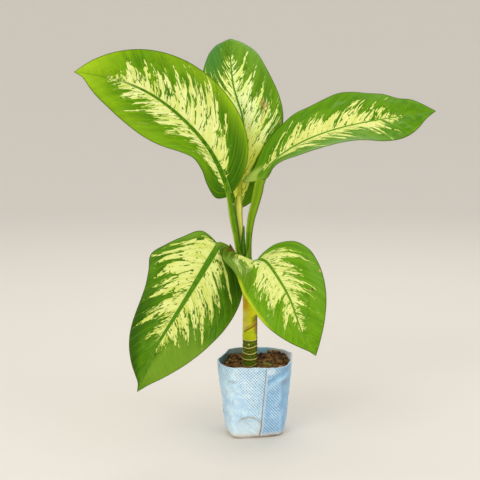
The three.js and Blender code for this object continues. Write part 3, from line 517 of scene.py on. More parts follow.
def blade_mesh(key, mat_):
    fr = blade_frame(key)
    spec, uu, s, md, w, P, N = (fr[k] for k in ("spec", "uu", "s", "md", "w", "P", "N"))
    a = np.abs(s)
    q = vein_q(uu, s, spec)
    side = np.sign(s)
    wn = np.clip(w / 55.0, 0, 1.15)
    sd = spec["seed"]

    # crown of each half, sunk at the midrib
    # (the left half of one leaf sinks beside its stalk)
    crown = spec["crown"] - spec.get("dip", 0.0) * gauss(uu, 0.105, 0.075) * (s < 0)
    h = crown * np.sin(np.pi * a**0.82) * np.minimum(1.0, np.where(crown < 0, w / 20.0, wn))
    # soft waves of the blade and its margin
    h += 0.9 * vnoise(np.stack([uu * 4.2 + sd, s * 1.6, 0 * s], -1), 3) * smooth(a, 0.1, 0.7) * wn
    h += 1.25 * vnoise(np.stack([uu * 8.5 + 3 * sd, side * 4.0, 0 * s], -1), 5) * smooth(a, 0.55, 1.0) * wn
    # side veins are pressed in, with the blade swelling between them
    ph = q * spec["veins"] + 0.18 * side + 0.12 * vnoise(np.stack([q * 5, s * 2, 0 * s + sd], -1), 8)
    d = np.abs(ph - np.round(ph))
    env = smooth(md, 1.2, 4.0) * (1 - smooth(a, 0.72, 0.97)) * np.clip(wn * 1.3, 0, 1) * smooth(uu, 0.01, 0.08) * (1 - smooth(uu, 0.9, 0.99))
    h += env * spec.get("pleat", 1.0) * (0.30 * np.cos(2 * np.pi * (d - 0.5)) * 0.8 - 0.16 * np.exp(-((d / 0.10) ** 2)))
    # finer pleats that follow the veins
    ph2 = q * spec["veins"] * 3.0
    h += env * 0.05 * np.cos(2 * np.pi * ph2)
    # small bumps
    h += 0.16 * fbm(np.stack([P[..., 0] / 9 + sd, P[..., 1] / 9, P[..., 2] / 9], -1), 2, 21) * smooth(md, 1.0, 3.0)
    # the midrib itself, a low rib between two grooves
    rs = np.clip(fr["wm"][:, None] / 2.4, 0.25, 1.2)
    h += rs * (0.42 * np.clip(1 - md**2, 0, 1) - 0.30 * np.exp(-(((md - 1.35) / 0.4) ** 2)))
    th = 0.78 - 0.40 * smooth(a, 0.0, 0.9)
    endf = np.minimum(1, np.minimum(uu, 1 - uu) / 0.02)
    th = np.maximum(th * (0.45 + 0.55 * endf), 0.3)
    h = h * (0.15 + 0.85 * endf)
    top = P + N * (h + th / 2)[..., None]
    bot = P + N * (h - th / 2)[..., None]
    fr["top"], fr["h"] = top, h
    nr, nc = s.shape
    V = np.concatenate([top.reshape(-1, 3), bot.reshape(-1, 3)])
    nt = nr * nc
    qt = grid_faces(nr, nc)
    qb = grid_faces(nr, nc, start=nt, flip=True)
    rim = []
    for j in (0, nc - 1):
        k = np.arange(nr - 1)
        A, B = k * nc + j, (k + 1) * nc + j
        r4 = np.stack([A, B, B + nt, A + nt], -1)
        rim.append(r4 if j == 0 else r4[:, ::-1])
    for i in (0, nr - 1):
        k = np.arange(nc - 1)
        A, B = i * nc + k, i * nc + k + 1
        r4 = np.stack([A, B, B + nt, A + nt], -1)
        rim.append(r4[:, ::-1] if i == 0 else r4)
    quads = np.concatenate([qt, qb] + rim)
    # both ends of the grid are single points: weld them, drop what collapses
    canon = np.arange(len(V))
    for base in (0, nt):
        for i in (0, nr - 1):
            idx = base + i * nc + np.arange(nc)
            canon[idx] = idx[nc // 2]
    qc = canon[quads]
    quads2, tris, uvc_q, uvc_t = [], [], [], []
    uvt = np.stack([0.01 + 0.48 * (s * 0.5 + 0.5), 0.01 + 0.98 * uu], -1).reshape(-1, 2)
    uvb = uvt + np.array([0.5, 0.0])
    uvv = np.concatenate([uvt, uvb])
    n_main = len(qt) + len(qb)
    for fi, (f0, f1) in enumerate(zip(quads, qc)):
        keep, cu = [], []
        for a0, a1 in zip(f0, f1):
            if not keep or a1 != keep[-1]:
                keep.append(int(a1))
                cu.append(uvv[a0 if fi < n_main else a0 % nt])
        if len(keep) > 1 and keep[0] == keep[-1]:
            keep.pop()
            cu.pop()
        if len(set(keep)) == 4:
            quads2.append(keep)
            uvc_q += cu
        elif len(set(keep)) == 3:
            tris.append(keep)
            uvc_t += cu
    used = np.unique(np.concatenate([np.array(quads2).ravel(), np.array(tris).ravel()]))
    remap = -np.ones(len(V), int)
    remap[used] = np.arange(len(used))
    quads2 = remap[np.array(quads2)]
    tris = remap[np.array(tris)]
    V = V[used]
    vq = np.asarray(quads2)
    tt = np.vstack([vq[:, [0, 1, 2]], vq[:, [0, 2, 3]], tris])
    vol = np.einsum("ij,ij->i", V[tt[:, 0]], np.cross(V[tt[:, 1]], V[tt[:, 2]])).sum()
    uvq = np.array(uvc_q).reshape(-1, 4, 2)
    uvtr = np.array(uvc_t).reshape(-1, 3, 2)
    if vol < 0:
        quads2, tris = quads2[:, ::-1], tris[:, ::-1]
        uvq, uvtr = uvq[:, ::-1], uvtr[:, ::-1]
    uvc = np.concatenate([uvq.reshape(-1, 2), uvtr.reshape(-1, 2)])

    def both(x):
        x = np.asarray(x, float)
        flat = x.reshape(-1) if x.ndim == 2 else x.reshape(-1, x.shape[-1])
        return np.concatenate([flat, flat])[used]

    ext = reach(q, s, spec)
    em = (1 - a) * w
    top_flag = np.concatenate([np.ones(nt), np.zeros(nt)])[used]
    masks = leaf_masks(key, uu, s, q)
    attrs = {
        "lf1": both(np.stack([uu, s, q], -1)),
        "lf2": both(np.stack([md, em, ext], -1)),
        "lf3": np.stack([top_flag, both(wn), both(ph)], -1),
        "lf4": both(masks[0]),
        "lf5": both(masks[1]),
    }
    # adjust uv when all corners are distinct per loop
    ob = make_mesh(SPEC[key]["node"] + "_blade", V, quads2, tris, uv=uvc, attrs=attrs, material=mat_)
    return ob, fr


def spot(uu, s, u0, s0, ru, rs):
    return np.exp(-(((uu - u0) / ru) ** 2) - (((s - s0) / rs) ** 2))


def leaf_masks(key, uu, s, q):
    """Broad masks: (cool, light, dark) are painted sheen, painted light and painted shade; (tan, brown, grey) are tan
    blemishes, brown blemishes with a brownish painted shade at one lobe's crest, and painted grey-green sheen and
    half-shade.
    """
    z = np.zeros_like(uu)
    cool, light, dark, tan, brown, grey = (z.copy() for _ in range(6))
    a = np.abs(s)
    if key == "upperLeft":
        light += 0.9 * smooth(uu, 0.72, 0.98) + 0.45 * smooth(a, 0.6, 0.95) * (s > 0) * gauss(uu, 0.45, 0.25)
        light += 0.35 * (s < 0) * smooth(a, 0.5, 0.9) * gauss(uu, 0.55, 0.3)
        dark += 0.98 * (1 - smooth(uu, 0.04, 0.26 + 0.10 * (s > 0))) + 0.6 * gauss(a, 0.72, 0.2) * (s > 0) * gauss(uu, 0.34, 0.18)
        cool += 0.35 * (s < 0) * smooth(a, 0.6, 0.9) * gauss(uu, 0.35, 0.2)
        light += 0.35 * (s > 0) * smooth(a, 0.88, 1.0) * (1 - smooth(uu, 0.2, 0.45))
    elif key == "topBack":
        cool += 0.85 * (s < 0) * smooth(uu, 0.5, 0.75) * smooth(a, 0.1, 0.6) + 0.5 * smooth(uu, 0.75, 0.95)
        light += 0.6 * (s > 0) * smooth(uu, 0.55, 0.8) * (1 - smooth(uu, 0.86, 0.96))
        dark += 0.75 * (1 - smooth(uu, 0.25, 0.42)) + 0.3 * (s < 0) * gauss(uu, 0.6, 0.15)
        tan += 0.62 * spot(uu, s, 0.50, 0.60, 0.06, 0.18) + 0.6 * spot(uu, s, 0.45, 0.93, 0.03, 0.06) + 0.5 * spot(uu, s, 0.42, 0.5, 0.04, 0.07)
    elif key == "right":
        cool += 0.9 * (s > 0) * smooth(a, 0.72, 0.95) * gauss(uu, 0.42, 0.26) + 0.25 * (s > 0) * gauss(uu, 0.2, 0.1)
        grey += 1.0 * (s < 0) * smooth(a, 0.18, 0.42) * (1 - smooth(uu, 0.085, 0.13)) + 0.3 * (s > 0) * (1 - smooth(uu, 0.02, 0.1))
        light += 0.35 * (s < 0) * smooth(a, 0.6, 0.95) * gauss(uu, 0.6, 0.2) + 0.3 * (s < 0) * gauss(a, 0.75, 0.2) * gauss(uu, 0.3, 0.15)
        dark += 0.35 * smooth(uu, 0.82, 1.0) + 0.3 * (s < 0) * gauss(uu, 0.12, 0.07)
    elif key == "lowerLeft":
        cool += 0.75 * (s > 0) * smooth(a, 0.5, 0.9) * (1 - smooth(uu, 0.05, 0.16)) + 0.35 * (s < 0) * (1 - smooth(uu, 0.15, 0.35)) * smooth(a, 0.75, 1)
        dark += 0.95 * (s < 0) * smooth(a, 0.45, 0.9) * smooth(uu, 0.28, 0.55) * (1 - 0.35 * smooth(uu, 0.8, 1)) + 1.1 * (s > 0) * smooth(a, 0.42, 0.8) * gauss(uu, 0.20, 0.13)
        light += 0.95 * (s > 0) * smooth(uu, 0.50, 0.68) * (1 - 0.6 * smooth(uu, 0.86, 0.98)) * smooth(a, 0.05, 0.3) + 0.3 * (s > 0) * smooth(a, 0.9, 1.0) * gauss(uu, 0.4, 0.2)
        light += 0.6 * (s < 0) * smooth(a, 0.55, 0.9) * gauss(uu, 0.10, 0.07)
    elif key == "lowerRight":
        light += 0.9 * (s < 0) * smooth(a, 0.90, 0.985) * gauss(uu, 0.45, 0.16) + 0.35 * (s < 0) * smooth(a, 0.4, 0.9) * smooth(uu, 0.35, 0.6)
        cool += 0.5 * (s > 0) * smooth(a, 0.55, 0.9) * gauss(uu, 0.4, 0.2)
        # the lobe beside the stalk: olive painted shade, a brownish painted shade at its crest, painted grey-green
        # half-shade and sheen below
        grey += 0.85 * (s < 0) * smooth(a, 0.48, 0.66) * smooth(uu, 0.16, 0.20) * (1 - smooth(uu, 0.23, 0.30))
        dark += 1.0 * (s < 0) * smooth(a, 0.48, 0.66) * smooth(uu, 0.02, 0.05) * (1 - smooth(uu, 0.165, 0.205)) + 0.5 * (s < 0) * gauss(uu, 0.28, 0.08) * smooth(a, 0.4, 0.7) + 0.75 * spot(uu, s, 0.296, 0.79, 0.022, 0.05)
        brown += 0.75 * spot(uu, s, 0.132, -0.88, 0.020, 0.09) + 1.0 * spot(uu, s, 0.508, 0.66, 0.012, 0.035) + 0.8 * spot(uu, s, 0.495, 0.56, 0.008, 0.03)
        tan += 0.9 * spot(uu, s, 0.515, 0.62, 0.017, 0.075) + 0.8 * spot(uu, s, 0.395, 0.96, 0.02, 0.035)
    cl = lambda x: np.clip(x, 0, 1)
    return np.stack([cl(cool), cl(light), cl(dark)], -1), np.stack([cl(tan), cl(brown), cl(grey)], -1)


def leaf_material(key):
    sp = SPEC[key]
    m = Mat("mat_" + sp["node"])
    C = {k: lin(*sp[k]) for k in ("green", "dark", "light", "tip", "base", "cream", "cream2", "rib", "cool")}
    u, s, q = m.xyz("lf1")
    md, em, ext = m.xyz("lf2")
    topf, wn, ph = m.xyz("lf3")
    cool, light, dark = m.xyz("lf4")
    tan, brown, grey = m.xyz("lf5")
    a = m.math("ABSOLUTE", s)
    sgn = m.math("SIGN", s)
    lane = m.madd(sgn, 3.7, sp["seed"])

    def n(fq, fs, off=0.0, detail=2.0, rough=0.5, dist=0.0):
        return m.noise(m.vec(m.mul(q, fq), m.mul(a, fs), m.add(lane, off)), 1.0, detail, rough, dist)

    def stretch(v, gain):
        return m.math("MULTIPLY_ADD", m.sub(v, 0.5), gain, 0.5, clamp=True)

    # --- cream zone: thin tongues along the side veins, broken by green ones
    n1 = stretch(n(19.0, 0.6, 0.0, 1.0), 2.3)
    n2 = n(38.0, 1.6, 11.0, 1.5, 0.5, 0.5)
    n3 = n(96.0, 5.5, 23.0, 1.5, 0.5, 0.5)
    n4 = n(80.0, 15.0, 31.0, 2.0)
    amp = m.math("MULTIPLY", ext, 2.5, None, True)
    f0 = sp.get("fill", 0.50)
    T = m.mul(ext, m.madd(n1, 0.50, m.step(u, 0.40, 0.78, f0, f0 - sp.get("thin", 0.10))))
    wild = sp.get("tongue", 1.8)
    if key in ARMS:
        wob = n(15.0, 5.0, 101.0, 1.0)
        qw = m.madd(m.sub(wob, 0.5), 0.045, q)
        arm = m.mixf(m.step(s, -0.01, 0.01), m.curve(qw, ARMS[key]["left"]), m.curve(qw, ARMS[key]["right"]))
        arm = m.madd(m.mul(m.sub(arm, 0.54), m.step(arm, 0.10, 0.36)), 0.40, m.add(arm, 0.01))
        T = m.mixf(0.88, T, arm)
        wild *= 0.30
    T = m.madd(m.mul(m.sub(n2, 0.5), amp), wild, T)
    if "base_fill" in sp:
        T = m.madd(m.mul(m.step(u, 0.04, 0.26, 1.0, 0.0), m.step(s, -0.1, 0.0, 1.0, 0.0)), sp["base_fill"], T)
    T = m.madd(m.mul(m.sub(n3, 0.5), amp), 0.48 if key in ARMS else 0.60, T)
    T = m.madd(m.sub(n4, 0.5), 0.34, T)
    # on the lower right leaf, less cream where the painted shade lies on the lobe
    if key == "lowerRight":
        T = m.madd(m.mul(dark, m.step(u, 0.10, 0.17, 1.0, 0.35)), -0.50, T)
    # narrow green gaps that run in from the edge of the cream
    n5 = n(33.0, 1.5, 61.0, 1.5, 0.5, 0.5)
    n6 = n(26.0, 2.2, 67.0, 1.0)
    gap = m.step(m.math("ABSOLUTE", m.sub(n5, 0.5)), 0.008, 0.030, 1.0, 0.0)
    T = m.sub(T, m.mul(m.mul(gap, amp), m.step(n6, 0.36, 0.62, 0.05, 0.52 if key in ("upperLeft", "right") else 0.36)))
    T = m.sub(T, a)
    cream = m.step(T, -0.010, 0.022)
    # green flecks inside it, thicker towards its edge
    f1 = n(72.0, 5.6, 41.0, 2.5, 0.6, 0.5) if key == "upperLeft" else n(74.0, 9.5, 41.0, 2.5, 0.6, 0.5)
    near_edge = m.step(T, 0.0, 0.50, 1.0, 0.0, "LINEAR")
    thr = m.madd(near_edge, -0.080, sp.get("fleck", 0.645))
    fleck = m.step(m.sub(f1, thr), 0.0, 0.022)
    cream_f = m.mul(cream, m.sub(1.0, fleck))
    # a few cream flecks outside it
    f2 = n(84.0, 6.0, 53.0, 2.5, 0.6, 0.4)
    out_near = m.step(T, -0.22, 0.0, 0.0, 1.0, "LINEAR")
    speck = m.step(m.sub(m.madd(out_near, 0.09, f2), 0.675), 0.0, 0.018)
    speck = m.mul(speck, m.step(ext, 0.05, 0.2))
    cream_f = m.math("MAXIMUM", cream_f, m.mul(speck, out_near))
    # --- greens
    streak = n(26.0, 1.1, 71.0, 3.0, 0.6)
    fine = n(120.0, 1.6, 83.0, 2.0, 0.6)
    blotch = m.noise(m.vec(m.mul(u, 5.0), m.mul(s, 2.2), sp["seed"] + 4.0), 1.0, 3.0, 0.55)
    g = m.mix(m.step(streak, 0.34, 0.66, 0.0, 0.5), C["green"], C["dark"])
    g = m.mix(m.mul(m.step(blotch, 0.44, 0.70), 0.45), g, C["light"])
    cloud = m.noise(m.vec(m.mul(q, 11.0), m.mul(s, 3.4), sp["seed"] + 9.0), 1.0, 2.5, 0.55)
    g = m.mix(m.mul(m.step(cloud, 0.30, 0.47, 1.0, 0.0), 0.50), g, C["dark"])
    g = m.mix(m.mul(m.step(cloud, 0.56, 0.70), 0.42), g, C["cool"])
    # painted light and shade: the dark mask turns the green to the base colour (painted shade), the cool mask to the
    # cool colour (painted sheen), the light mask to the lit colour (painted light)
    g = m.mix(m.mul(dark, 0.85), g, C["base"])
    g = m.mix(m.mul(cool, 0.85), g, C["cool"])
    g = m.mix(m.mul(light, 0.8), g, C["tip"])
    # painted highlight: a bright yellow-green band along the lower right leaf's left margin, which also weakens the
    # dark margin line there
    if key == "lowerRight":
        low_edge = m.mul(m.step(s, -0.985, -0.88, 1.0, 0.0), m.mul(m.step(u, 0.24, 0.34), m.step(u, 0.56, 0.70, 1.0, 0.0)))
        g = m.mix(m.mul(low_edge, 0.85), g, lin(198, 206, 40))
    # veins: a broad pale line where each side vein runs, and fine ones between
    pd = m.math("ABSOLUTE", m.sub(ph, m.math("ROUND", ph)))
    vein = m.mul(m.step(pd, 0.0, 0.085, 1.0, 0.0), m.step(md, 1.0, 3.0))
    ph3 = m.mul(ph, 3.0)
    pd3 = m.math("ABSOLUTE", m.sub(ph3, m.math("ROUND", ph3)))
    vein3 = m.step(pd3, 0.0, 0.18, 1.0, 0.0)
    g = m.mix(m.mul(vein, 0.34), g, C["light"])
    g = m.mix(m.mul(vein3, 0.10), g, C["light"])
    g = m.mix(m.mul(m.step(fine, 0.5, 0.72), 0.20), g, C["dark"])
    g = m.mix(m.mul(m.step(fine, 0.28, 0.5, 1.0, 0.0), 0.12), g, C["light"])
    # green that touches the cream is a little deeper
    g = m.mix(m.mul(m.step(T, -0.16, 0.0), 0.45), g, C["dark"])
    g = m.mix(m.mul(m.mul(m.step(T, -0.05, 0.0), m.step(T, 0.0, 0.05, 1.0, 0.0)), 0.35), g, lin(150, 190, 30))
    # --- creams
    cn = n(34.0, 1.6, 91.0, 3.0, 0.6)
    c = m.mix(m.step(cn, 0.38, 0.68), C["cream"], C["cream2"])
    edge_c = m.step(T, 0.0, 0.11, 1.0, 0.0)
    c = m.mix(m.mul(edge_c, 0.40), c, lin(196, 214, 70))
    c = m.mix(m.mul(vein, 0.22), c, lin(206, 222, 128))
    c = m.mix(m.mul(m.step(fine, 0.52, 0.75), 0.22), c, lin(200, 212, 96))
    # under the dark mask the cream takes painted shade, darker and yellower; on the back leaf it turns a bright yellow
    # there instead
    c = m.mix(m.mul(dark, 0.85 if key == "topBack" else 0.30), c, lin(240, 246, 24) if key == "topBack" else lin(206, 214, 60))
    col = m.mix(cream_f, g, c)
    # --- blemishes, with a brownish painted shade on one lobe and painted grey-green sheen
    bl = m.noise(m.vec(m.mul(q, 60.0), m.mul(s, 9.0), 3.3), 1.0, 3.0, 0.6)
    tanm = m.step(m.add(tan, m.mul(m.sub(bl, 0.5), 1.6)), 0.52, 0.62)
    col = m.mix(m.mul(tanm, m.step(tan, 0.08, 0.2, 0.0, 0.85)), col, lin(196, 160, 104))
    col = m.mix(m.mul(m.step(m.madd(m.sub(bl, 0.5), 0.8, brown), 0.25, 0.62), 0.85), col, lin(92, 66, 26))
    # painted sheen: the grey mask turns the colour grey-green; on the lower right leaf's lobe it is a mottled painted
    # half-shade
    grey_sheen_shade_col = m.mix(m.step(bl, 0.45, 0.6), lin(108, 136, 46), lin(160, 182, 104)) if key == "lowerRight" else lin(172, 196, 88)
    col = m.mix(m.mul(grey, 0.75), col, grey_sheen_shade_col)
    # --- midrib and margin
    ribm = m.step(md, 0.92, 1.12, 1.0, 0.0)
    ribn = m.noise(m.vec(m.mul(u, 40.0), m.mul(md, 2.0), 8.0), 1.0, 3.0, 0.6)
    rib = m.mix(m.step(ribn, 0.35, 0.7, 0.0, 0.5), C["rib"], C["light"])
    # painted highlight: pale lines along both edges of the midrib
    riblight = m.mul(m.step(m.math("ABSOLUTE", m.sub(md, 1.08)), 0.0, 0.22, 1.0, 0.0), 0.45)
    if key == "topBack":
        low = m.step(u, 0.10, 0.26, 1.0, 0.0)
        band = m.mul(m.step(m.madd(m.sub(n3, 0.5), 1.2, md), 1.4, 2.1, 1.0, 0.0), low)
        rib = m.mix(low, rib, lin(196, 200, 52))
        col = m.mix(m.mul(band, 0.85), col, m.mix(m.step(n2, 0.42, 0.58), lin(120, 150, 12), lin(196, 204, 56)))
    fade = m.step(u, 0.66, 0.86, 1.0, 0.22) if key == "upperLeft" else 1.0
    col = m.mix(m.mul(ribm, fade), col, rib)
    col = m.mix(m.mul(riblight, fade), col, lin(166, 192, 92))
    col = m.mix(m.mul(m.step(em, 0.45, 1.5, 0.85, 0.0), m.sub(1.0, m.mul(low_edge, 0.7)) if key == "lowerRight" else 1.0), col, lin(66, 84, 6))
    # --- underside: paler, with the pattern showing faintly through
    und_g = m.mix(m.step(streak, 0.38, 0.65), lin(140, 168, 92), lin(122, 154, 76))
    und_c = lin(188, 204, 126)
    und = m.mix(m.mul(cream_f, 0.75), und_g, und_c)
    und = m.mix(m.mul(vein, 0.35), und, lin(174, 196, 120))
    und = m.mix(m.mul(ribm, 0.8), und, lin(150, 182, 96))
    col = m.mix(topf, und, col)
    spk = m.noise(m.vec(m.mul(u, 300.0), m.mul(s, 70.0), 0.0), 1.0, 2.0, 0.6)
    rough = m.add(m.madd(m.sub(spk, 0.5), 0.16, 0.46), m.mul(cream_f, 0.06))
    rough = m.add(rough, m.mul(m.sub(1.0, topf), 0.14))
    # fine relief: hair-thin side veinlets and skin
    hgt = m.add(m.mul(fine, 0.5), m.mul(spk, 0.35))
    hgt = m.add(hgt, m.mul(vein3, -0.15))
    hgt = m.add(hgt, m.mul(cream_f, -0.12))
    nrm = m.bump(hgt, 0.35, 0.0004)
    m.set(Base_Color=col, Roughness=rough, Normal=nrm)
    m.set(Specular_IOR_Level=0.075)
    return m.m


# --------------------------------------------------------------------------
# stalks and the rib under each blade
# --------------------------------------------------------------------------
def arc_resample(P, n, power=1.0):
    """n points spaced evenly along the smooth curve through P."""
    dense = catmull(P, np.linspace(0, 1, 600))
    d = np.concatenate([[0], np.cumsum(np.linalg.norm(np.diff(dense, axis=0), axis=1))])
    t = np.linspace(0, 1, n) ** power
    x = t * d[-1]
    return np.stack([np.interp(x, d, dense[:, k]) for k in range(3)], -1), t, d[-1]


def tube(C, R, up, profile=None, sides=24, cap0=True, cap1=True):
    """Rings around centres C with radii R; up gives direction zero."""
    T = unit(np.gradient(C, axis=0))
    U = unit(up - (up * T).sum(1, keepdims=True) * T)
    B = np.cross(T, U)
    th = 2 * np.pi * np.arange(sides) / sides
    th = np.where(th > np.pi, th - 2 * np.pi, th)
    rr = R[:, None] * np.ones((1, sides))
    if profile is not None:
        rr = rr * profile(np.linspace(0, 1, len(C))[:, None], th[None, :])
    V = C[:, None, :] + rr[..., None] * (np.cos(th)[None, :, None] * U[:, None, :] + np.sin(th)[None, :, None] * B[:, None, :])
    n = len(C)
    verts = V.reshape(-1, 3)
    quads = grid_faces(n, sides, wrap=True)
    tris = []
    extra = []
    for cap, ring, base in ((cap0, 0, C[0] - T[0] * R[0] * 0.35), (cap1, n - 1, C[-1] + T[-1] * R[-1] * 0.6)):
        if cap:
            extra.append(base)
            ci = len(verts) + len(extra) - 1
            for k in range(sides):
                a, b = ring * sides + k, ring * sides + (k + 1) % sides
                tris.append((ci, b, a) if ring == 0 else (ci, a, b))
    if extra:
        verts = np.vstack([verts, extra])
    quads, tris = outward(verts, quads, np.array(tris) if tris else None)
    tt = np.repeat(np.linspace(0, 1, n), sides)
    aa = np.tile(th / np.pi, n)
    if extra:
        ends = [0.0] * int(cap0) + [1.0] * int(cap1)
        tt = np.concatenate([tt, ends])
        aa = np.concatenate([aa, [0.0] * len(extra)])
    return verts, quads, tris, tt, aa


def tube_uv(tt, aa, quads, tris):
    """Per-corner UVs of a tube, with its seam kept apart."""
    out = []
    for group in (quads, tris if tris is not None else []):
        for f in group:
            av = aa[np.asarray(f)]
            if av.max() - av.min() > 1.0:
                av = np.where(av < 0, av + 2, av)
            out += [((a * 0.5 + 0.5) * 0.66 + 0.01, t * 0.98 + 0.01) for a, t in zip(av, tt[np.asarray(f)])]
    return np.array(out)


STALK_LOOK = {
    # face, highlight, low part, left and right strips of painted light and shade (colour, strength), and the
    # sheath base: centre, height, radius, half span
    "upperLeft": dict(face=(84, 132, 6), hi=(140, 176, 30), low=(74, 120, 4), left=((176, 196, 46), 0.75), right=((52, 92, 2), 0.5),
                      sh=dict(c=(-13.2, 0), z0=223.2, z1=252.0, r=10.1, span=1.30)),
    "topBack": dict(face=(240, 244, 104), hi=(250, 250, 150), low=(150, 180, 24), left=((64, 104, 4), 0.95), right=((146, 138, 26), 0.8),
                    sh=dict(c=(-13.4, 0), z0=223.0, z1=248.0, r=10.3, span=1.20)),
    "right": dict(face=(112, 150, 12), hi=(140, 172, 26), low=(78, 122, 4), left=((160, 184, 48), 0.7), right=((72, 54, 14), 0.75),
                  sh=dict(c=(-12.6, 0), z0=223.2, z1=257.0, r=9.9, span=1.25)),
    "lowerLeft": dict(face=(98, 136, 20), hi=(148, 174, 46), low=(104, 136, 14), left=((150, 172, 50), 0.5), right=((70, 96, 10), 0.4),
                      sh=dict(c=(-11.5, 0), z0=204.5, z1=222.0, r=10.5, span=1.55)),
    "lowerRight": dict(face=(104, 140, 22), hi=(152, 176, 50), low=(106, 136, 16), left=((150, 172, 50), 0.5), right=((70, 96, 10), 0.4),
                       sh=dict(c=(-8.6, 0), z0=186.0, z1=204.0, r=10.4, span=1.55)),
}


def stalk_material(key):
    look = STALK_LOOK[key]
    m = Mat("mat_" + SPEC[key]["node"] + "_stalk")
    t, ang, wing = m.xyz("st")
    x = m.objco()
    sep = m.nt.nodes.new("ShaderNodeSeparateXYZ")
    m.nt.links.new(x, sep.inputs[0])
    seed = SPEC[key]["seed"]
    fib = m.noise(m.vec(m.mul(ang, 15.0), m.mul(t, 7.0), seed), 1.0, 3.0, 0.6)
    fib2 = m.noise(m.vec(m.mul(ang, 44.0), m.mul(t, 14.0), seed + 3), 1.0, 2.0, 0.6)
    blot = m.noise(x, 45.0, 3.0, 0.6)
    face, hi, low = lin(*look["face"]), lin(*look["hi"]), lin(*look["low"])
    if key == "right":
        # the clasping base ends in a clear line across the stalk
        col = m.mix(m.step(m.madd(m.sub(fib, 0.5), 3.0, m.mul(sep.outputs[2], 1000.0)), 262.5, 265.5), low, face)
    else:
        col = m.mix(m.step(t, 0.02, 0.34), low, face)
    col = m.mix(m.mul(m.step(fib, 0.45, 0.68), 0.55), col, hi)
    col = m.mix(m.mul(m.step(fib2, 0.5, 0.7), 0.30), col, lin(*[int(c * 0.72) for c in look["face"]]))
    col = m.mix(m.mul(m.step(blot, 0.5, 0.72), 0.30), col, hi)
    # painted highlight: pale lines along both flanks of the stalk
    sideline = m.step(m.math("ABSOLUTE", m.sub(m.math("ABSOLUTE", ang), 0.30)), 0.0, 0.11, 1.0, 0.0)
    col = m.mix(m.mul(sideline, 0.30), col, hi)
    # painted light on one side of the stalk and painted shade on the other (offset from its centre line)
    off = m.attr("off").outputs["Fac"]
    offn = m.madd(m.sub(fib, 0.5), 0.25, off)
    lo, hi_ = (-0.74, -0.30) if key == "upperLeft" else (-0.92, -0.55)
    if key == "topBack":
        # its back is plain green; its left flank carries painted shadow low down and turns yellow-green under the blade
        zz = m.mul(sep.outputs[2], 1000.0)
        col = m.mix(m.step(m.math("ABSOLUTE", ang), 1.45, 2.1, 0.0, 0.85), col, m.mix(fib, lin(104, 140, 20), lin(140, 168, 44)))
        flank = m.mix(m.step(zz, 290.0, 303.0), lin(*look["left"][0]), lin(142, 160, 22))
        col = m.mix(m.step(offn, -0.36, -0.04, look["left"][1], 0.0), col, flank)
    else:
        col = m.mix(m.step(offn, lo, hi_, look["left"][1], 0.0), col, lin(*look["left"][0]))
    col = m.mix(m.step(offn, 0.55, 0.90, 0.0, look["right"][1]), col, lin(*look["right"][0]))
    # painted shade along the groove in the stalk's upper face
    groove = m.step(m.math("ABSOLUTE", ang), 0.02, 0.2, 1.0, 0.0)
    col = m.mix(m.mul(groove, 0.12 if key in ("right", "upperLeft") else 0.30), col, lin(*[int(c * 0.66) for c in look["face"]]))
    col = m.mix(m.mul(m.step(wing, 0.9, 0.99), 0.75), col, lin(124, 92, 26))
    rough = m.madd(m.sub(fib2, 0.5), 0.18, 0.40)
    h = m.add(m.mul(fib, 0.6), m.mul(fib2, 0.4))
    m.set(Base_Color=col, Roughness=rough, Normal=m.bump(h, 0.4, 0.0005))
    m.set(Specular_IOR_Level=0.12)
    return m.m


def stalk_path(key, fr):
    """Centres, radii and adaxial directions from the cane to the leaf tip."""
    sp = SPEC[key]
    st = np.array(sp["stalk"], float)
    u = fr["u"]
    M, Nm = fr["M"], fr["Nm"]
    sel = np.linspace(0.0, 0.965, 46)
    Mk = catmull(fr["mid"], sel)
    Nk = unit(np.stack([np.interp(sel, u, Nm[:, k]) for k in range(3)], -1))
    r0, r1 = sp["r"]
    rk = r1 + (0.42 - r1) * np.clip(sel, 0, 1) ** 0.52
    # under the blade the rib's crest stays just below the upper skin
    drop = rk * (0.10 + 0.86 * smooth(sel, 0.0, 0.10)) - 0.12
    Ck = Mk - Nk * drop[:, None]
    S, t, ln = arc_resample(np.vstack([st, Ck[:3]]), 60)
    S = S[:-6]
    rs = r0 + (r1 - r0) * np.linspace(0, 1, len(S))
    C = np.vstack([S, Ck[1:]])
    # smooth the junction
    for _ in range(3):
        C[1:-1] = 0.25 * C[:-2] + 0.5 * C[1:-1] + 0.25 * C[2:]
    R = np.concatenate([rs, rk[1:]])
    ns = len(S)
    # adaxial direction, carried back down the stalk
    T = unit(np.gradient(C, axis=0))
    up = np.zeros_like(C)
    up[ns:] = Nk[1:]
    d = Nk[0]
    for k in range(ns - 1, -1, -1):
        d = unit(d - (d @ T[k]) * T[k])
        up[k] = d
    return C, R, up, ns, T


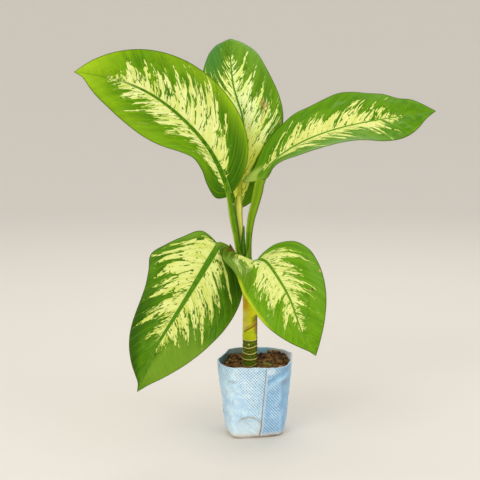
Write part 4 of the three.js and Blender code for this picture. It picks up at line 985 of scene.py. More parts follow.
def stalk_mesh(key, fr, mat_):
    C, R, up, ns, T = stalk_path(key, fr)
    n = len(C)
    frac = ns / n
    # these stalks are wider than deep where they leave the sheath
    wide = np.zeros(n)
    on = np.arange(n) < ns
    if key in ("upperLeft", "right"):
        wide = (0.22 * (1 - smooth(C[:, 2], 240, 262)) + (0.46 if key == "right" else 0.42) * gauss(C[:, 2], 281, 24)) * (1 - smooth(np.arange(n), ns - 8, ns + 4))
    if key == "right":
        wide = 0.22 * (1 - smooth(C[:, 2], 240, 262)) + np.interp(C[:, 2], [250, 268, 281, 300, 318, 332, 345], [0.05, 0.34, 0.50, 0.66, 0.80, 0.70, 0.0])
        C = C + np.interp(C[:, 2], [255, 281, 300, 318, 332, 345], [0.0, -0.2, 0.8, 2.2, 2.4, 0.0])[:, None] * np.array([1.0, 0.0, 0.0])
    if key == "topBack":
        wide = np.interp(C[:, 2], [226, 262, 275, 285, 293, 305, 322], [0.2, 0.5, 0.75, 1.1, 1.35, 0.9, 0.0])
        C = C + np.interp(C[:, 2], [226, 262, 275, 285, 293, 305, 322], [0, -1.2, -2.0, -3.3, -3.4, -2.6, -0.4])[:, None] * np.array([1.0, 0.0, 0.0])

    def prof(t, th):
        ts = np.clip(t / frac, 0, 1)
        open_ = 1 - smooth(ts, 0.15, 0.75)
        on_stalk = 1 - smooth(t, frac * 0.93, frac * 1.03)
        g = 1 - (0.16 + 0.26 * open_) * np.exp(-((th / 0.42) ** 2)) * on_stalk
        g = g + (0.05 + 0.22 * open_) * np.exp(-(((np.abs(th) - 0.72) / 0.2) ** 2)) * on_stalk
        # ribs run along the outer side
        g = g + 0.012 * np.cos(11 * th) * smooth(np.abs(th), 1.1, 1.6)
        # below the blade: flattened crest, full keel
        g = g * (1 - 0.22 * np.exp(-((th / 0.6) ** 2)) * (1 - on_stalk))
        return g * (1 + wide[:, None] * np.abs(np.sin(th)) ** 1.5)

    R = R * (1 + 0.012 * np.sin(np.arange(n) * 0.37 + SPEC[key]["seed"]))
    V, Q, Tr, tt, aa = tube(C, R, up, prof, sides=30)
    st = np.stack([np.clip(tt / frac, 0, 1.6), aa, np.clip(0 * tt, 0, 1)], -1)
    ring = np.concatenate([np.repeat(np.arange(n), 30), [0, n - 1]])
    off = (V[:, 0] - C[ring, 0]) / (R * (1 + wide))[ring]
    ob = make_mesh(SPEC[key]["node"] + "_stalk", V, Q, Tr, uv=tube_uv(tt, aa, Q, Tr), attrs={"st": st, "off": off}, material=mat_)
    return ob, C, R


def sheath_mesh(key, C, R, mat_):
    """The stalk's open base, a thin sheet that clasps the cane and narrows upward."""
    sh = STALK_LOOK[key]["sh"]
    z0, z1, r0, span0 = sh["z0"], sh["z1"], sh["r"], sh["span"]
    zc = C[:, 2]
    nr, nc = 34, 37
    v = np.linspace(0, 1, nr)
    rows, wing = [], []
    for k in range(nr):
        z = z0 + (z1 - z0) * v[k]
        if z < zc[0]:
            cx, cy = C[0, 0], C[0, 1]
        else:
            i = int(np.argmax(zc[: int(len(zc) * 0.55)] >= z))
            cx, cy = C[i, 0], C[i, 1]
        ox = sh["c"][0] - 1.5 * smooth(z, 200, 260)
        oy = sh["c"][1]
        az0 = math.atan2(cy - oy, cx - ox)
        if key == "topBack":
            az0 = math.pi / 2 + 0.1
        dist = math.hypot(cx - ox, cy - oy)
        f = smooth(v[k], 0.0, 0.55)
        rad = r0 * (1 - f) + max(dist + R[0] * 0.55, 2.5) * f
        rad = max(rad, 3.0)
        span = span0 * (1 - smooth(v[k], 0.05, 1.0)) ** 0.8 + 0.02
        s = np.linspace(-1, 1, nc)
        az = az0 + s * span
        curl = 0.5 * np.abs(s) ** 6 * (1 - v[k])
        rr = rad + curl + 0.22 * np.cos(s * 9) * (1 - v[k]) - 0.5 * (1 - smooth(v[k], 0.0, 0.05))
        zz = z - 2.6 * (1 - v[k]) * s**2 + 0.5 * np.sin(5 * s + SPEC[key]["seed"]) * (1 - v[k]) ** 3
        rows.append(np.stack([ox + rr * np.cos(az), oy + rr * np.sin(az), zz], -1))
        wing.append(np.abs(s))
    P = np.array(rows)
    W = np.array(wing)
    N = unit(np.cross(np.gradient(P, axis=1), np.gradient(P, axis=0)))
    cen = np.array([sh["c"][0], sh["c"][1], 0.0])
    out = P - cen
    out[..., 2] = 0
    if (N * out).sum() < 0:
        N = -N
    th = (0.95 - 0.6 * smooth(W, 0.5, 1.0))[..., None]
    top, bot = P + N * th / 2, P - N * th / 2
    V = np.concatenate([top.reshape(-1, 3), bot.reshape(-1, 3)])
    nt = nr * nc
    q1 = grid_faces(nr, nc)
    q2 = grid_faces(nr, nc, start=nt, flip=True)
    edge = []
    k = np.arange(nr - 1)
    for j, fl in ((0, False), (nc - 1, True)):
        A, B = k * nc + j, (k + 1) * nc + j
        r4 = np.stack([A, B, B + nt, A + nt], -1)
        edge.append(r4[:, ::-1] if fl else r4)
    k = np.arange(nc - 1)
    for i, fl in ((0, True), (nr - 1, False)):
        A, B = i * nc + k, i * nc + k + 1
        r4 = np.stack([A, B, B + nt, A + nt], -1)
        edge.append(r4[:, ::-1] if fl else r4)
    Q = np.concatenate([q1, q2] + edge)
    Q, _ = outward(V, Q)
    aa = np.repeat(np.linspace(-1, 1, nc)[None, :], nr, 0)
    vv = np.repeat(v[:, None], nc, 1)
    one = np.stack([vv * 0.35, 0.55 + 0.4 * aa, W], -1).reshape(-1, 3)
    uv1 = np.stack([0.69 + 0.14 * (aa * 0.5 + 0.5), 0.01 + 0.98 * vv], -1).reshape(-1, 2)
    uvv = np.concatenate([uv1, uv1 + np.array([0.155, 0])])
    n_main = len(q1) + len(q2)
    uvc = []
    for i, f in enumerate(Q):
        for x in f:
            uvc.append(uvv[x] if i < n_main else uvv[x % nt])
    off = np.zeros(len(V))
    return make_mesh(SPEC[key]["node"] + "_sheath", V, Q, uv=np.array(uvc), attrs={"st": np.concatenate([one, one]), "off": off}, material=mat_)


# --------------------------------------------------------------------------
# cane
# --------------------------------------------------------------------------
CANE_R, CANE_TOP = 9.6, 225.0
RINGS = [82.0, 91.0, 99.5, 107.5, 115.6, 125.0, 137.0, 154.0, 178.0, 204.0, 216.0]
RING_AMP = [0.5, 0.5, 0.6, 0.6, 0.65, 0.7, 0.35, 0.22, 0.4, 0.5, 0.3]


def cane_x(z):
    return -6.0 - 7.5 * np.power(np.clip((z - 170) / 55.0, 0, None), 1.6)


def cane_mesh(mat_):
    z = np.linspace(66, CANE_TOP - 0.1, 330)
    ns = 72
    az = 2 * np.pi * np.arange(ns) / ns - np.pi
    Z, A = np.meshgrid(z, az, indexing="ij")
    # the leaf scars run round the cane a little aslant
    front = np.clip(-np.sin(A), 0, 1)
    skew = 0.8 * np.sin(A + 1.0) - 1.6 * front**1.5
    R = np.full_like(Z, CANE_R - 0.25)
    ringd = np.full_like(Z, 99.0)
    for z0, amp in zip(RINGS, RING_AMP):
        zr = z0 + skew * (1 if z0 < 145 else 1.8) + 0.5 * np.sin(2 * A + z0)
        d = Z - zr
        R += amp * np.exp(-((d / 0.75) ** 2)) - 0.38 * amp * np.exp(-(((d - 1.9) / 1.2) ** 2))
        ringd = np.where(np.abs(d) < np.abs(ringd), d, ringd)
    for a0, b0 in zip(RINGS[:-1], RINGS[1:]):
        mid, half = (a0 + b0) / 2, (b0 - a0) / 2
        R += 0.18 * np.clip(1 - ((Z - mid) / half) ** 2, 0, 1)
    R += 0.16 * fbm(np.stack([A * 1.6, Z / 9, 0 * Z], -1), 3, 31)
    # fine cross wrinkles low down, lengthwise lines higher up
    low = 1 - smooth(Z, 118, 140)
    R += 0.10 * low * vnoise(np.stack([A * 2.2, Z / 0.9, 0 * Z], -1), 35)
    R += 0.05 * vnoise(np.stack([A * 9, Z / 14, 0 * Z], -1), 37)
    # slanted old scar on the front
    az_s = A + np.pi / 2
    line = Z - (139.5 + 5.2 * az_s)
    scar = np.exp(-((line / 1.5) ** 2)) * smooth(np.cos(az_s), 0.25, 0.7)
    R -= 0.45 * scar
    # dormant buds
    bud = np.exp(-((A + 1.74) ** 2 * (9.6**2) + (Z - 118.0) ** 2) / 2.4)
    bud2 = np.exp(-((A - 1.2) ** 2 * (9.6**2) + (Z - 160.0) ** 2) / 7.0)
    bud3 = np.exp(-((A - 2.9) ** 2 * (9.6**2) + (Z - 127.0) ** 2) / 5.0)
    R += 0.75 * bud + 1.0 * bud2 + 0.8 * bud3
    R *= 1 - 0.03 * smooth(Z, 88, 70)
    # the top is rounded off under the leaf bases
    R *= np.sqrt(np.clip(1 - 0.55 * smooth(Z, CANE_TOP - 3.0, CANE_TOP) ** 2, 0.2, 1))
    X = cane_x(Z) + R * np.cos(A)
    Y = R * np.sin(A)
    V = np.stack([X, Y, Z], -1).reshape(-1, 3)
    n = len(z)
    Q = grid_faces(n, ns, wrap=True)
    top = [cane_x(z[-1]), 0, CANE_TOP - 0.02]
    botp = [cane_x(z[0]), 0, z[0] - 0.3]
    V = np.vstack([V, botp, top])
    T = []
    for k in range(ns):
        k2 = (k + 1) % ns
        T.append((n * ns, k2, k))
        T.append((n * ns + 1, (n - 1) * ns + k, (n - 1) * ns + k2))
    Q, T = outward(V, Q, np.array(T))
    pad = lambda x: np.concatenate([x.reshape(-1), [x[0, 0], x[-1, 0]]])
    at = {
        "cn1": np.stack([pad(Z), pad(A), pad(ringd)], -1),
        "cn2": np.stack([pad(scar), pad(bud + bud2 + bud3), pad(line)], -1),
    }
    tt = np.concatenate([np.repeat((z - z[0]) / (z[-1] - z[0]), ns), [0, 1]])
    aa = np.concatenate([np.tile(az / np.pi, n), [0, 0]])
    return make_mesh("cane_bark", V, Q, T, uv=tube_uv(tt, aa, Q, T), attrs=at, material=mat_)


def cane_material():
    m = Mat("mat_cane")
    z, az, rd = m.xyz("cn1")
    scar, bud, line = m.xyz("cn2")
    x = m.objco()
    n1 = m.noise(x, 90.0, 4.0, 0.62)
    n2 = m.noise(m.vec(m.mul(az, 2.2), m.mul(z, 0.95), 2.0), 1.0, 3.0, 0.65)
    n3 = m.noise(m.vec(m.mul(az, 14.0), m.mul(z, 0.10), 5.0), 1.0, 3.0, 0.6)
    n4 = m.noise(x, 420.0, 2.0, 0.6)
    zz = m.madd(m.sub(n1, 0.5), 9.0, z)
    n5 = m.noise(x, 150.0, 3.0, 0.6)
    green1, green2 = lin(56, 78, 0), lin(104, 126, 0)
    ygreen, ochre, orange = lin(206, 220, 6), lin(230, 226, 8), lin(226, 158, 24)
    col = m.mix(m.step(n2, 0.38, 0.62), green1, green2)
    col = m.mix(m.step(m.madd(m.sub(n1, 0.5), 4.0, z), 121.0, 125.5), col, ygreen)
    col = m.mix(m.step(zz, 136.0, 144.0), col, ochre)
    col = m.mix(m.mul(m.step(zz, 186.0, 204.0), 0.75), col, lin(136, 160, 18))
    # the back is greener and duller, with darker patches
    behind = m.step(m.math("ABSOLUTE", m.sub(az, 1.4)), 0.9, 1.5, 1.0, 0.0)
    greener = m.mix(m.step(n5, 0.38, 0.60), lin(134, 150, 22), lin(170, 176, 34))
    col = m.mix(m.mul(m.mul(behind, m.step(z, 120.0, 128.0)), 0.72), col, greener)
    # orange tint high on the left of the front
    left = m.step(m.math("ABSOLUTE", m.add(az, 2.35)), 0.2, 0.8, 1.0, 0.0)
    hi = m.mul(m.step(zz, 158.0, 168.0), m.step(zz, 176.0, 188.0, 1.0, 0.0))
    col = m.mix(m.mul(m.mul(left, hi), 0.75), col, orange)
    # reddish brown along the right edge in the middle
    right = m.step(m.math("ABSOLUTE", m.add(az, 0.45)), 0.15, 0.75, 1.0, 0.0)
    midz = m.mul(m.step(z, 128.0, 134.0), m.step(z, 150.0, 160.0, 1.0, 0.0))
    col = m.mix(m.mul(m.mul(right, midz), 0.7), col, lin(120, 66, 18))
    # painted highlight: a pale strip low on the left; painted shade: a deep green patch high on the right
    pale = m.mul(m.step(m.math("ABSOLUTE", m.add(az, 2.25)), 0.15, 0.65, 1.0, 0.0), m.mul(m.step(z, 134.0, 139.0), m.step(z, 158.0, 168.0, 1.0, 0.0)))
    col = m.mix(m.mul(pale, m.step(n5, 0.36, 0.56, 0.35, 0.85)), col, lin(240, 222, 112))
    deep = m.mul(m.step(m.math("ABSOLUTE", m.sub(z, m.madd(az, 4.0, 155.0))), 2.0, 7.0, 1.0, 0.0), m.step(az, -1.6, -1.0))
    col = m.mix(m.mul(m.mul(deep, m.step(az, 0.2, 0.8, 1.0, 0.0)), m.step(n5, 0.36, 0.54, 0.35, 0.80)), col, lin(96, 112, 0))
    rust = m.mul(m.step(m.math("ABSOLUTE", m.sub(z, m.madd(az, 6.0, 148.0))), 2.0, 8.0, 1.0, 0.0), m.step(az, -1.5, -0.9))
    col = m.mix(m.mul(m.mul(rust, m.step(az, 0.2, 0.8, 1.0, 0.0)), m.step(n5, 0.40, 0.56, 0.15, 0.85)), col, lin(176, 112, 44))
    # lengthwise and crosswise streaks
    col = m.mix(m.mul(m.step(n3, 0.48, 0.7), m.step(zz, 118.0, 130.0, 0.12, 0.40)), col, lin(226, 216, 60))
    col = m.mix(m.mul(m.step(n3, 0.28, 0.44, 1.0, 0.0), 0.24), col, lin(122, 120, 10))
    wr = m.mul(m.step(n2, 0.5, 0.66), m.step(z, 126.0, 138.0, 1.0, 0.0))
    col = m.mix(m.mul(wr, 0.35), col, lin(136, 140, 30))
    # scars
    scarn = m.step(m.madd(m.sub(n1, 0.5), 0.6, scar), 0.35, 0.75)
    col = m.mix(m.mul(scarn, 0.85), col, lin(134, 74, 22))
    patch = m.mul(m.step(m.math("ABSOLUTE", m.sub(line, 2.6)), 0.8, 3.2, 1.0, 0.0), m.step(az, -2.6, -2.0))
    patch = m.mul(patch, m.step(az, -1.2, -0.8, 1.0, 0.0))
    col = m.mix(m.mul(patch, 0.55), col, lin(178, 140, 58))
    ring = m.step(m.math("ABSOLUTE", m.add(rd, m.mul(m.sub(n1, 0.5), 0.9))), 0.25, 0.85, 1.0, 0.0)
    ring = m.mul(ring, m.step(z, 128.0, 132.0, 1.0, 0.15))
    col = m.mix(m.mul(ring, m.step(n1, 0.3, 0.45, 0.6, 0.95)), col, lin(226, 214, 128))
    under = m.step(m.math("ABSOLUTE", m.add(rd, 1.5)), 0.2, 0.9, 1.0, 0.0)
    col = m.mix(m.mul(under, m.step(z, 128.0, 132.0, 0.55, 0.16)), col, lin(70, 62, 2))
    # painted shade: a dark strip down the cane's right-hand side
    shade_right_edge = m.step(m.math("ABSOLUTE", m.add(az, 0.05)), 0.2, 0.75, 1.0, 0.0)
    col = m.mix(m.mul(shade_right_edge, 0.75), col, lin(66, 42, 6))
    col = m.mix(m.step(bud, 0.3, 0.75), col, lin(214, 208, 120))
    specks = m.step(n4, 0.62, 0.7)
    col = m.mix(m.mul(specks, 0.30), col, lin(98, 84, 6))
    # soil-stained foot
    foot = m.step(m.madd(m.sub(n1, 0.5), 8.0, z), 87.0, 93.0, 1.0, 0.0)
    col = m.mix(m.mul(foot, 0.75), col, lin(66, 48, 24))
    rough = m.madd(m.sub(n2, 0.5), 0.2, 0.50)
    rough = m.add(rough, m.mul(foot, 0.3))
    h = m.add(m.mul(n2, 0.5), m.add(m.mul(n3, 0.35), m.mul(n4, 0.25)))
    m.set(Base_Color=col, Roughness=rough, Normal=m.bump(h, 0.45, 0.0006))
    m.set(Specular_IOR_Level=0.14)
    return m.m


# --------------------------------------------------------------------------
# rolled young leaf, dry tip
# --------------------------------------------------------------------------
def spear_mesh():
    C, t, ln = arc_resample([(-14.0, -5.3, 225.6), (-15.0, -4.4, 240), (-14.9, -4.0, 256), (-13.9, -4.2, 272.6)], 90)
    R = 3.05 * np.sqrt(np.clip(1 - 0.992 * t**3.2, 0.002, 1)) * (0.92 + 0.08 * np.cos(t * 3))
    up = np.tile(np.array([[0.3, -1.0, 0.0]]), (len(C), 1))

    def prof(tt, th):
        # a rolled leaf: one margin overlaps the next in a long spiral line
        ph = (th / (2 * np.pi) + 0.5 + 0.55 * tt) % 1.0
        return 1.0 + 0.14 * (ph - 0.5) + 0.015 * np.cos(9 * th + 6 * tt)

    V, Q, T, tt, aa = tube(C, R, up, prof, sides=44)
    m = Mat("mat_spear")
    tv, ang, _ = m.xyz("st")
    x = m.objco()
    n1 = m.noise(m.vec(m.mul(ang, 9.0), m.mul(tv, 5.0), 1.0), 1.0, 3.0, 0.6)
    roll = m.math("FRACT", m.add(m.madd(ang, 0.5, 0.5), m.mul(tv, 0.55)))
    edge = m.math("ABSOLUTE", m.sub(roll, 0.5))
    col = m.mix(m.step(n1, 0.38, 0.66), lin(40, 92, 2), lin(72, 120, 8))
    col = m.mix(m.step(tv, 0.05, 0.35, 0.6, 0.0), col, lin(26, 82, 40))
    col = m.mix(m.step(tv, 0.75, 1.0, 0.0, 0.5), col, lin(88, 104, 18))
    col = m.mix(m.mul(m.step(edge, 0.46, 0.5), 0.6), col, lin(124, 150, 40))
    col = m.mix(m.mul(m.step(edge, 0.40, 0.45, 1.0, 0.0), 0.0), col, lin(24, 62, 4))
    col = m.mix(m.step(tv, 0.965, 1.0, 0.0, 0.9), col, lin(92, 74, 30))
    m.set(Base_Color=col, Roughness=m.madd(m.sub(n1, 0.5), 0.2, 0.42), Normal=m.bump(n1, 0.35, 0.0005))
    m.set(Specular_IOR_Level=0.14)
    ob = make_mesh("spear_leaf_roll", V, Q, T, uv=tube_uv(tt, aa, Q, T), attrs={"st": np.stack([tt, aa, 0 * tt], -1)}, material=m.m)
    return ob


def dry_sheath_mesh():
    mid = [(-23.2, -18.1, 227.0), (-26.2, -19.5, 233.5), (-28.6, -21.3, 240.0), (-30.4, -23.2, 246.0), (-31.8, -24.7, 252.0)]
    left = [(-23.2, -18.1, 227.0), (-28.8, -19.3, 231.5), (-32.0, -21.3, 238.0), (-32.6, -23.3, 245.0), (-31.8, -24.7, 252.0)]
    right = [(-23.2, -18.1, 227.0), (-22.8, -20.2, 234.5), (-25.4, -22.1, 241.5), (-28.6, -23.7, 247.0), (-31.8, -24.7, 252.0)]
    nr, nc = 40, 21
    u = np.linspace(0.02, 0.985, nr)
    M, L, R = catmull(mid, u), catmull(left, u), catmull(right, u)
    s = np.linspace(-1, 1, nc)
    P = np.where((s < 0)[None, :, None], M[:, None] + (L - M)[:, None] * np.abs(s)[None, :, None], M[:, None] + (R - M)[:, None] * np.abs(s)[None, :, None])
    N = unit(np.cross(np.gradient(P, axis=0), np.gradient(P, axis=1)))
    U_, S_ = np.meshgrid(u, s, indexing="ij")
    h = 0.7 * np.abs(S_) ** 2 + 0.35 * vnoise(np.stack([U_ * 5, S_ * 3, 0 * U_], -1), 4) + 0.12 * np.cos(S_ * 14)
    top, bot = P + N * (h + 0.2)[..., None], P + N * (h - 0.2)[..., None]
    V = np.concatenate([top.reshape(-1, 3), bot.reshape(-1, 3)])
    nt = nr * nc
    edge = []
    k = np.arange(nr - 1)
    for j, fl in ((0, False), (nc - 1, True)):
        A, B = k * nc + j, (k + 1) * nc + j
        r4 = np.stack([A, B, B + nt, A + nt], -1)
        edge.append(r4[:, ::-1] if fl else r4)
    k = np.arange(nc - 1)
    for i, fl in ((0, True), (nr - 1, False)):
        A, B = i * nc + k, i * nc + k + 1
        r4 = np.stack([A, B, B + nt, A + nt], -1)
        edge.append(r4[:, ::-1] if fl else r4)
    Q = np.concatenate([grid_faces(nr, nc), grid_faces(nr, nc, start=nt, flip=True)] + edge)
    Q, _ = outward(V, Q)
    m = Mat("mat_dry_sheath")
    tv, sv, _ = m.xyz("st")
    n1 = m.noise(m.vec(m.mul(sv, 9.0), m.mul(tv, 3.0), 1.0), 1.0, 4.0, 0.65)
    col = m.mix(m.step(n1, 0.35, 0.65), lin(70, 62, 16), lin(112, 103, 38))
    col = m.mix(m.step(tv, 0.2, 0.65, 0.85, 0.0), col, lin(92, 108, 20))
    col = m.mix(m.step(tv, 0.75, 1.0, 0.0, 0.7), col, lin(50, 40, 14))
    m.set(Base_Color=col, Roughness=m.madd(n1, 0.25, 0.6), Normal=m.bump(n1, 0.6, 0.0005))
    m.set(Specular_IOR_Level=0.15)
    one = np.stack([U_, S_, 0 * U_], -1).reshape(-1, 3)
    uv1 = np.stack([0.01 + 0.47 * (S_ * 0.5 + 0.5), 0.01 + 0.98 * U_], -1).reshape(-1, 2)
    uv = np.concatenate([uv1, uv1 + np.array([0.5, 0])])
    return make_mesh("dry_sheath_tip", V, Q, uv=uv, attrs={"st": np.concatenate([one, one])}, material=m.m)


# --------------------------------------------------------------------------
# grow bag
# --------------------------------------------------------------------------
WALL = 1.3
# The bag's outline: flat sides, each with the direction it faces in degrees
# and its distance from the middle, at the mouth and at the base.
MOUTH_SIDES = [(-90, 46.5), (-147.7, 49.4), (161, 41.5), (90, 49), (-7.7, 48.5), (45, 54), (-45, 57)]
BASE_SIDES = [(-80, 28.8), (-160.2, 36.9), (164.6, 36.6), (95, 36), (0, 38.5), (-40, 42), (45, 47)]


def lerp(a, b, f):
    return a + (b - a) * f


def wrap_angle(a):
    return (a + np.pi) % (2 * np.pi) - np.pi


def rim_z(a):
    return 98.6 + 2.6 * np.sin(a) + 0.4 * np.sin(3 * a)


def seam_x(z):
    return lerp(7.0, 14.5, z / 95.0)


def outline(sides, a, inset):
    tot = 0.0
    for deg, d in sides:
        c = np.cos(a - math.radians(deg)) / (d - inset)
        tot = tot + np.clip(c, 0, None) ** 9
    return tot ** (-1 / 9)


def bag_xy(z, a, inset=0.0):
    f = np.clip(z / 98.0, 0, 1) ** 0.85
    foot = np.where(z < 5, 1.6 * (1 - np.clip(z, 0, 5) / 5), 0)
    r = lerp(outline(BASE_SIDES, a, inset), outline(MOUTH_SIDES, a, inset), f) - foot
    return r * np.cos(a), r * np.sin(a)


def ridge(x, z, p0, p1, width, amp, soft_ends=True):
    p0, p1 = np.array(p0, float), np.array(p1, float)
    d = p1 - p0
    L = np.hypot(*d)
    t = ((x - p0[0]) * d[0] + (z - p0[1]) * d[1]) / L**2
    n = ((x - p0[0]) * d[1] - (z - p0[1]) * d[0]) / L
    along = smooth(t, -0.12, 0.18) * (1 - smooth(t, 0.82, 1.12)) if soft_ends else ((t > 0) & (t < 1))
    return amp * np.exp(-((n / width) ** 2)) * along


def bag_disp(a, z, x):
    """Folds, dents and creases: radial movement of the wall in mm."""
    d = np.zeros_like(z)
    hi = smooth(z, 10, 90)
    # pinched corners: far left, and where the front turns into the right side
    da = wrap_angle(a + 3.08)
    d += (1.5 * np.exp(-((da / 0.055) ** 2)) - 0.8 * np.exp(-(((np.abs(da) - 0.26) / 0.16) ** 2))) * (0.3 + 0.7 * hi)
    da = wrap_angle(a + 0.62)
    d += (0.8 * np.exp(-((da / 0.05) ** 2)) - 0.9 * np.exp(-(((da - 0.24) / 0.16) ** 2))) * (0.6 + 0.4 * smooth(z, 70, 30))
    da = wrap_angle(a - 0.34)
    d += (1.3 * np.exp(-((da / 0.06) ** 2)) - 0.9 * np.exp(-(((np.abs(da) - 0.25) / 0.16) ** 2))) * (0.3 + 0.7 * hi)
    # corners behind
    for c0, am in ((2.30, 1.1), (1.20, 0.7)):
        da = wrap_angle(a - c0)
        d += am * np.exp(-((da / 0.09) ** 2)) * (0.4 + 0.6 * smooth(z, 50, 95)) - 0.5 * am * np.exp(-(((np.abs(da) - 0.28) / 0.15) ** 2))
    ca, sa = np.cos(a), np.sin(a)
    d += 0.70 * vnoise(np.stack([ca * 2.2 + 4, sa * 2.2, z / 38], -1), 41) * smooth(z, 4, 25)
    d += 0.40 * vnoise(np.stack([ca * 5.2, sa * 5.2, z / 15], -1), 43) * smooth(z, 2, 14)
    d += 0.14 * vnoise(np.stack([ca * 12, sa * 12, z / 6.5], -1), 47)
    # wall sags outward low down, where the soil presses
    d += 0.8 * np.exp(-(((z - 26) / 20) ** 2)) * (1 - np.exp(-((wrap_angle(a + np.pi) / 0.6) ** 2)))
    # back: long slanting creases
    bk = smooth(sa, 0.15, 0.5)
    d += bk * (ridge(x, z, (-34, 84), (6, 30), 1.3, 1.3) + ridge(x, z, (30, 90), (10, 52), 1.2, -1.3) + ridge(x, z, (-10, 96), (-22, 62), 1.0, 1.0)
               + ridge(x, z, (34, 20), (-4, 44), 1.4, 0.9))
    lf = smooth(-ca, 0.2, 0.6) * smooth(np.abs(sa), 0.9, 0.5)
    yy = 49 * sa
    d += lf * (ridge(yy, z, (-22, 88), (16, 58), 1.2, -1.1) + ridge(yy, z, (24, 70), (-8, 22), 1.3, 1.1) + ridge(yy, z, (-20, 46), (6, 14), 1.1, 0.8))
    rt = smooth(ca, 0.2, 0.6) * smooth(np.abs(sa), 0.9, 0.5)
    d += rt * (ridge(yy, z, (-14, 52), (20, 80), 1.3, 1.0) + ridge(yy, z, (-12, 66), (14, 26), 1.4, -1.0) + ridge(yy, z, (20, 40), (-6, 10), 1.2, 0.9))
    # front
    fr = smooth(-sa, 0.2, 0.5)
    f = np.zeros_like(z)
    xs = x - seam_x(z)
    f += 0.40 * smooth(xs, -0.2, 1.2) * (1 - smooth(xs, 3.0, 9.0)) - 0.25 * np.exp(-((xs / 1.0) ** 2))
    # the deep crease that climbs from the seam to the right-hand rim
    f += ridge(x, z, (15.0, 74.0), (44.0, 93.0), 2.6, -1.9)
    f += ridge(x, z, (15.0, 67.5), (42.0, 85.0), 2.6, 1.7)
    f += ridge(x, z, (17.0, 92.0), (22.0, 76.0), 3.2, 1.1)
    f += ridge(x, z, (33.0, 78.0), (40.0, 64.0), 3.0, -0.9)
    f += ridge(x, z, (17.0, 62.0), (24.0, 30.0), 2.4, -0.7)
    f += ridge(x, z, (-46.0, 62.0), (-12.0, 76.0), 2.8, 0.8)
    f += ridge(x, z, (-36.0, 84.0), (-22.0, 40.0), 3.0, -0.9)
    f += ridge(x, z, (-40.0, 88.0), (-33.0, 14.0), 2.0, 0.6)
    f += ridge(x, z, (-22.0, 40.0), (-4.0, 16.0), 2.4, 0.8)
    f += ridge(x, z, (-19.0, 25.0), (6.0, 28.0), 1.8, 0.6)
    f += ridge(x, z, (-28.0, 26.0), (-24.0, 2.0), 2.2, 0.9)
    f += ridge(x, z, (-8.0, 12.0), (6.0, 2.0), 1.8, 0.7)
    d += fr * f
    # bottom hem
    d += 0.35 * np.exp(-(((z - 3.2) / 1.3) ** 2))
    return d


def hem_lift(a, z):
    """The hem stands a little off the floor at the right front corner."""
    return 1.5 * np.exp(-((wrap_angle(a + 0.55) / 0.45) ** 2)) * np.clip(1 - z / 12.0, 0, 1) ** 1.5


def bag_point(a, z, inset=0.0, fine=1.0):
    x, y = bag_xy(z, a, inset)
    d = bag_disp(a, z, x) * fine
    # the wall moves along its own outward direction
    r = np.hypot(x, y)
    # the left side bellies out a little more than the right
    belly = smooth(-x, 6, 40) * np.interp(z, [0, 15, 60, 95, 110], [0.0, 0.9, 2.2, 2.8, 2.8])
    return x * (1 + d / r) - belly, y * (1 + d / r)


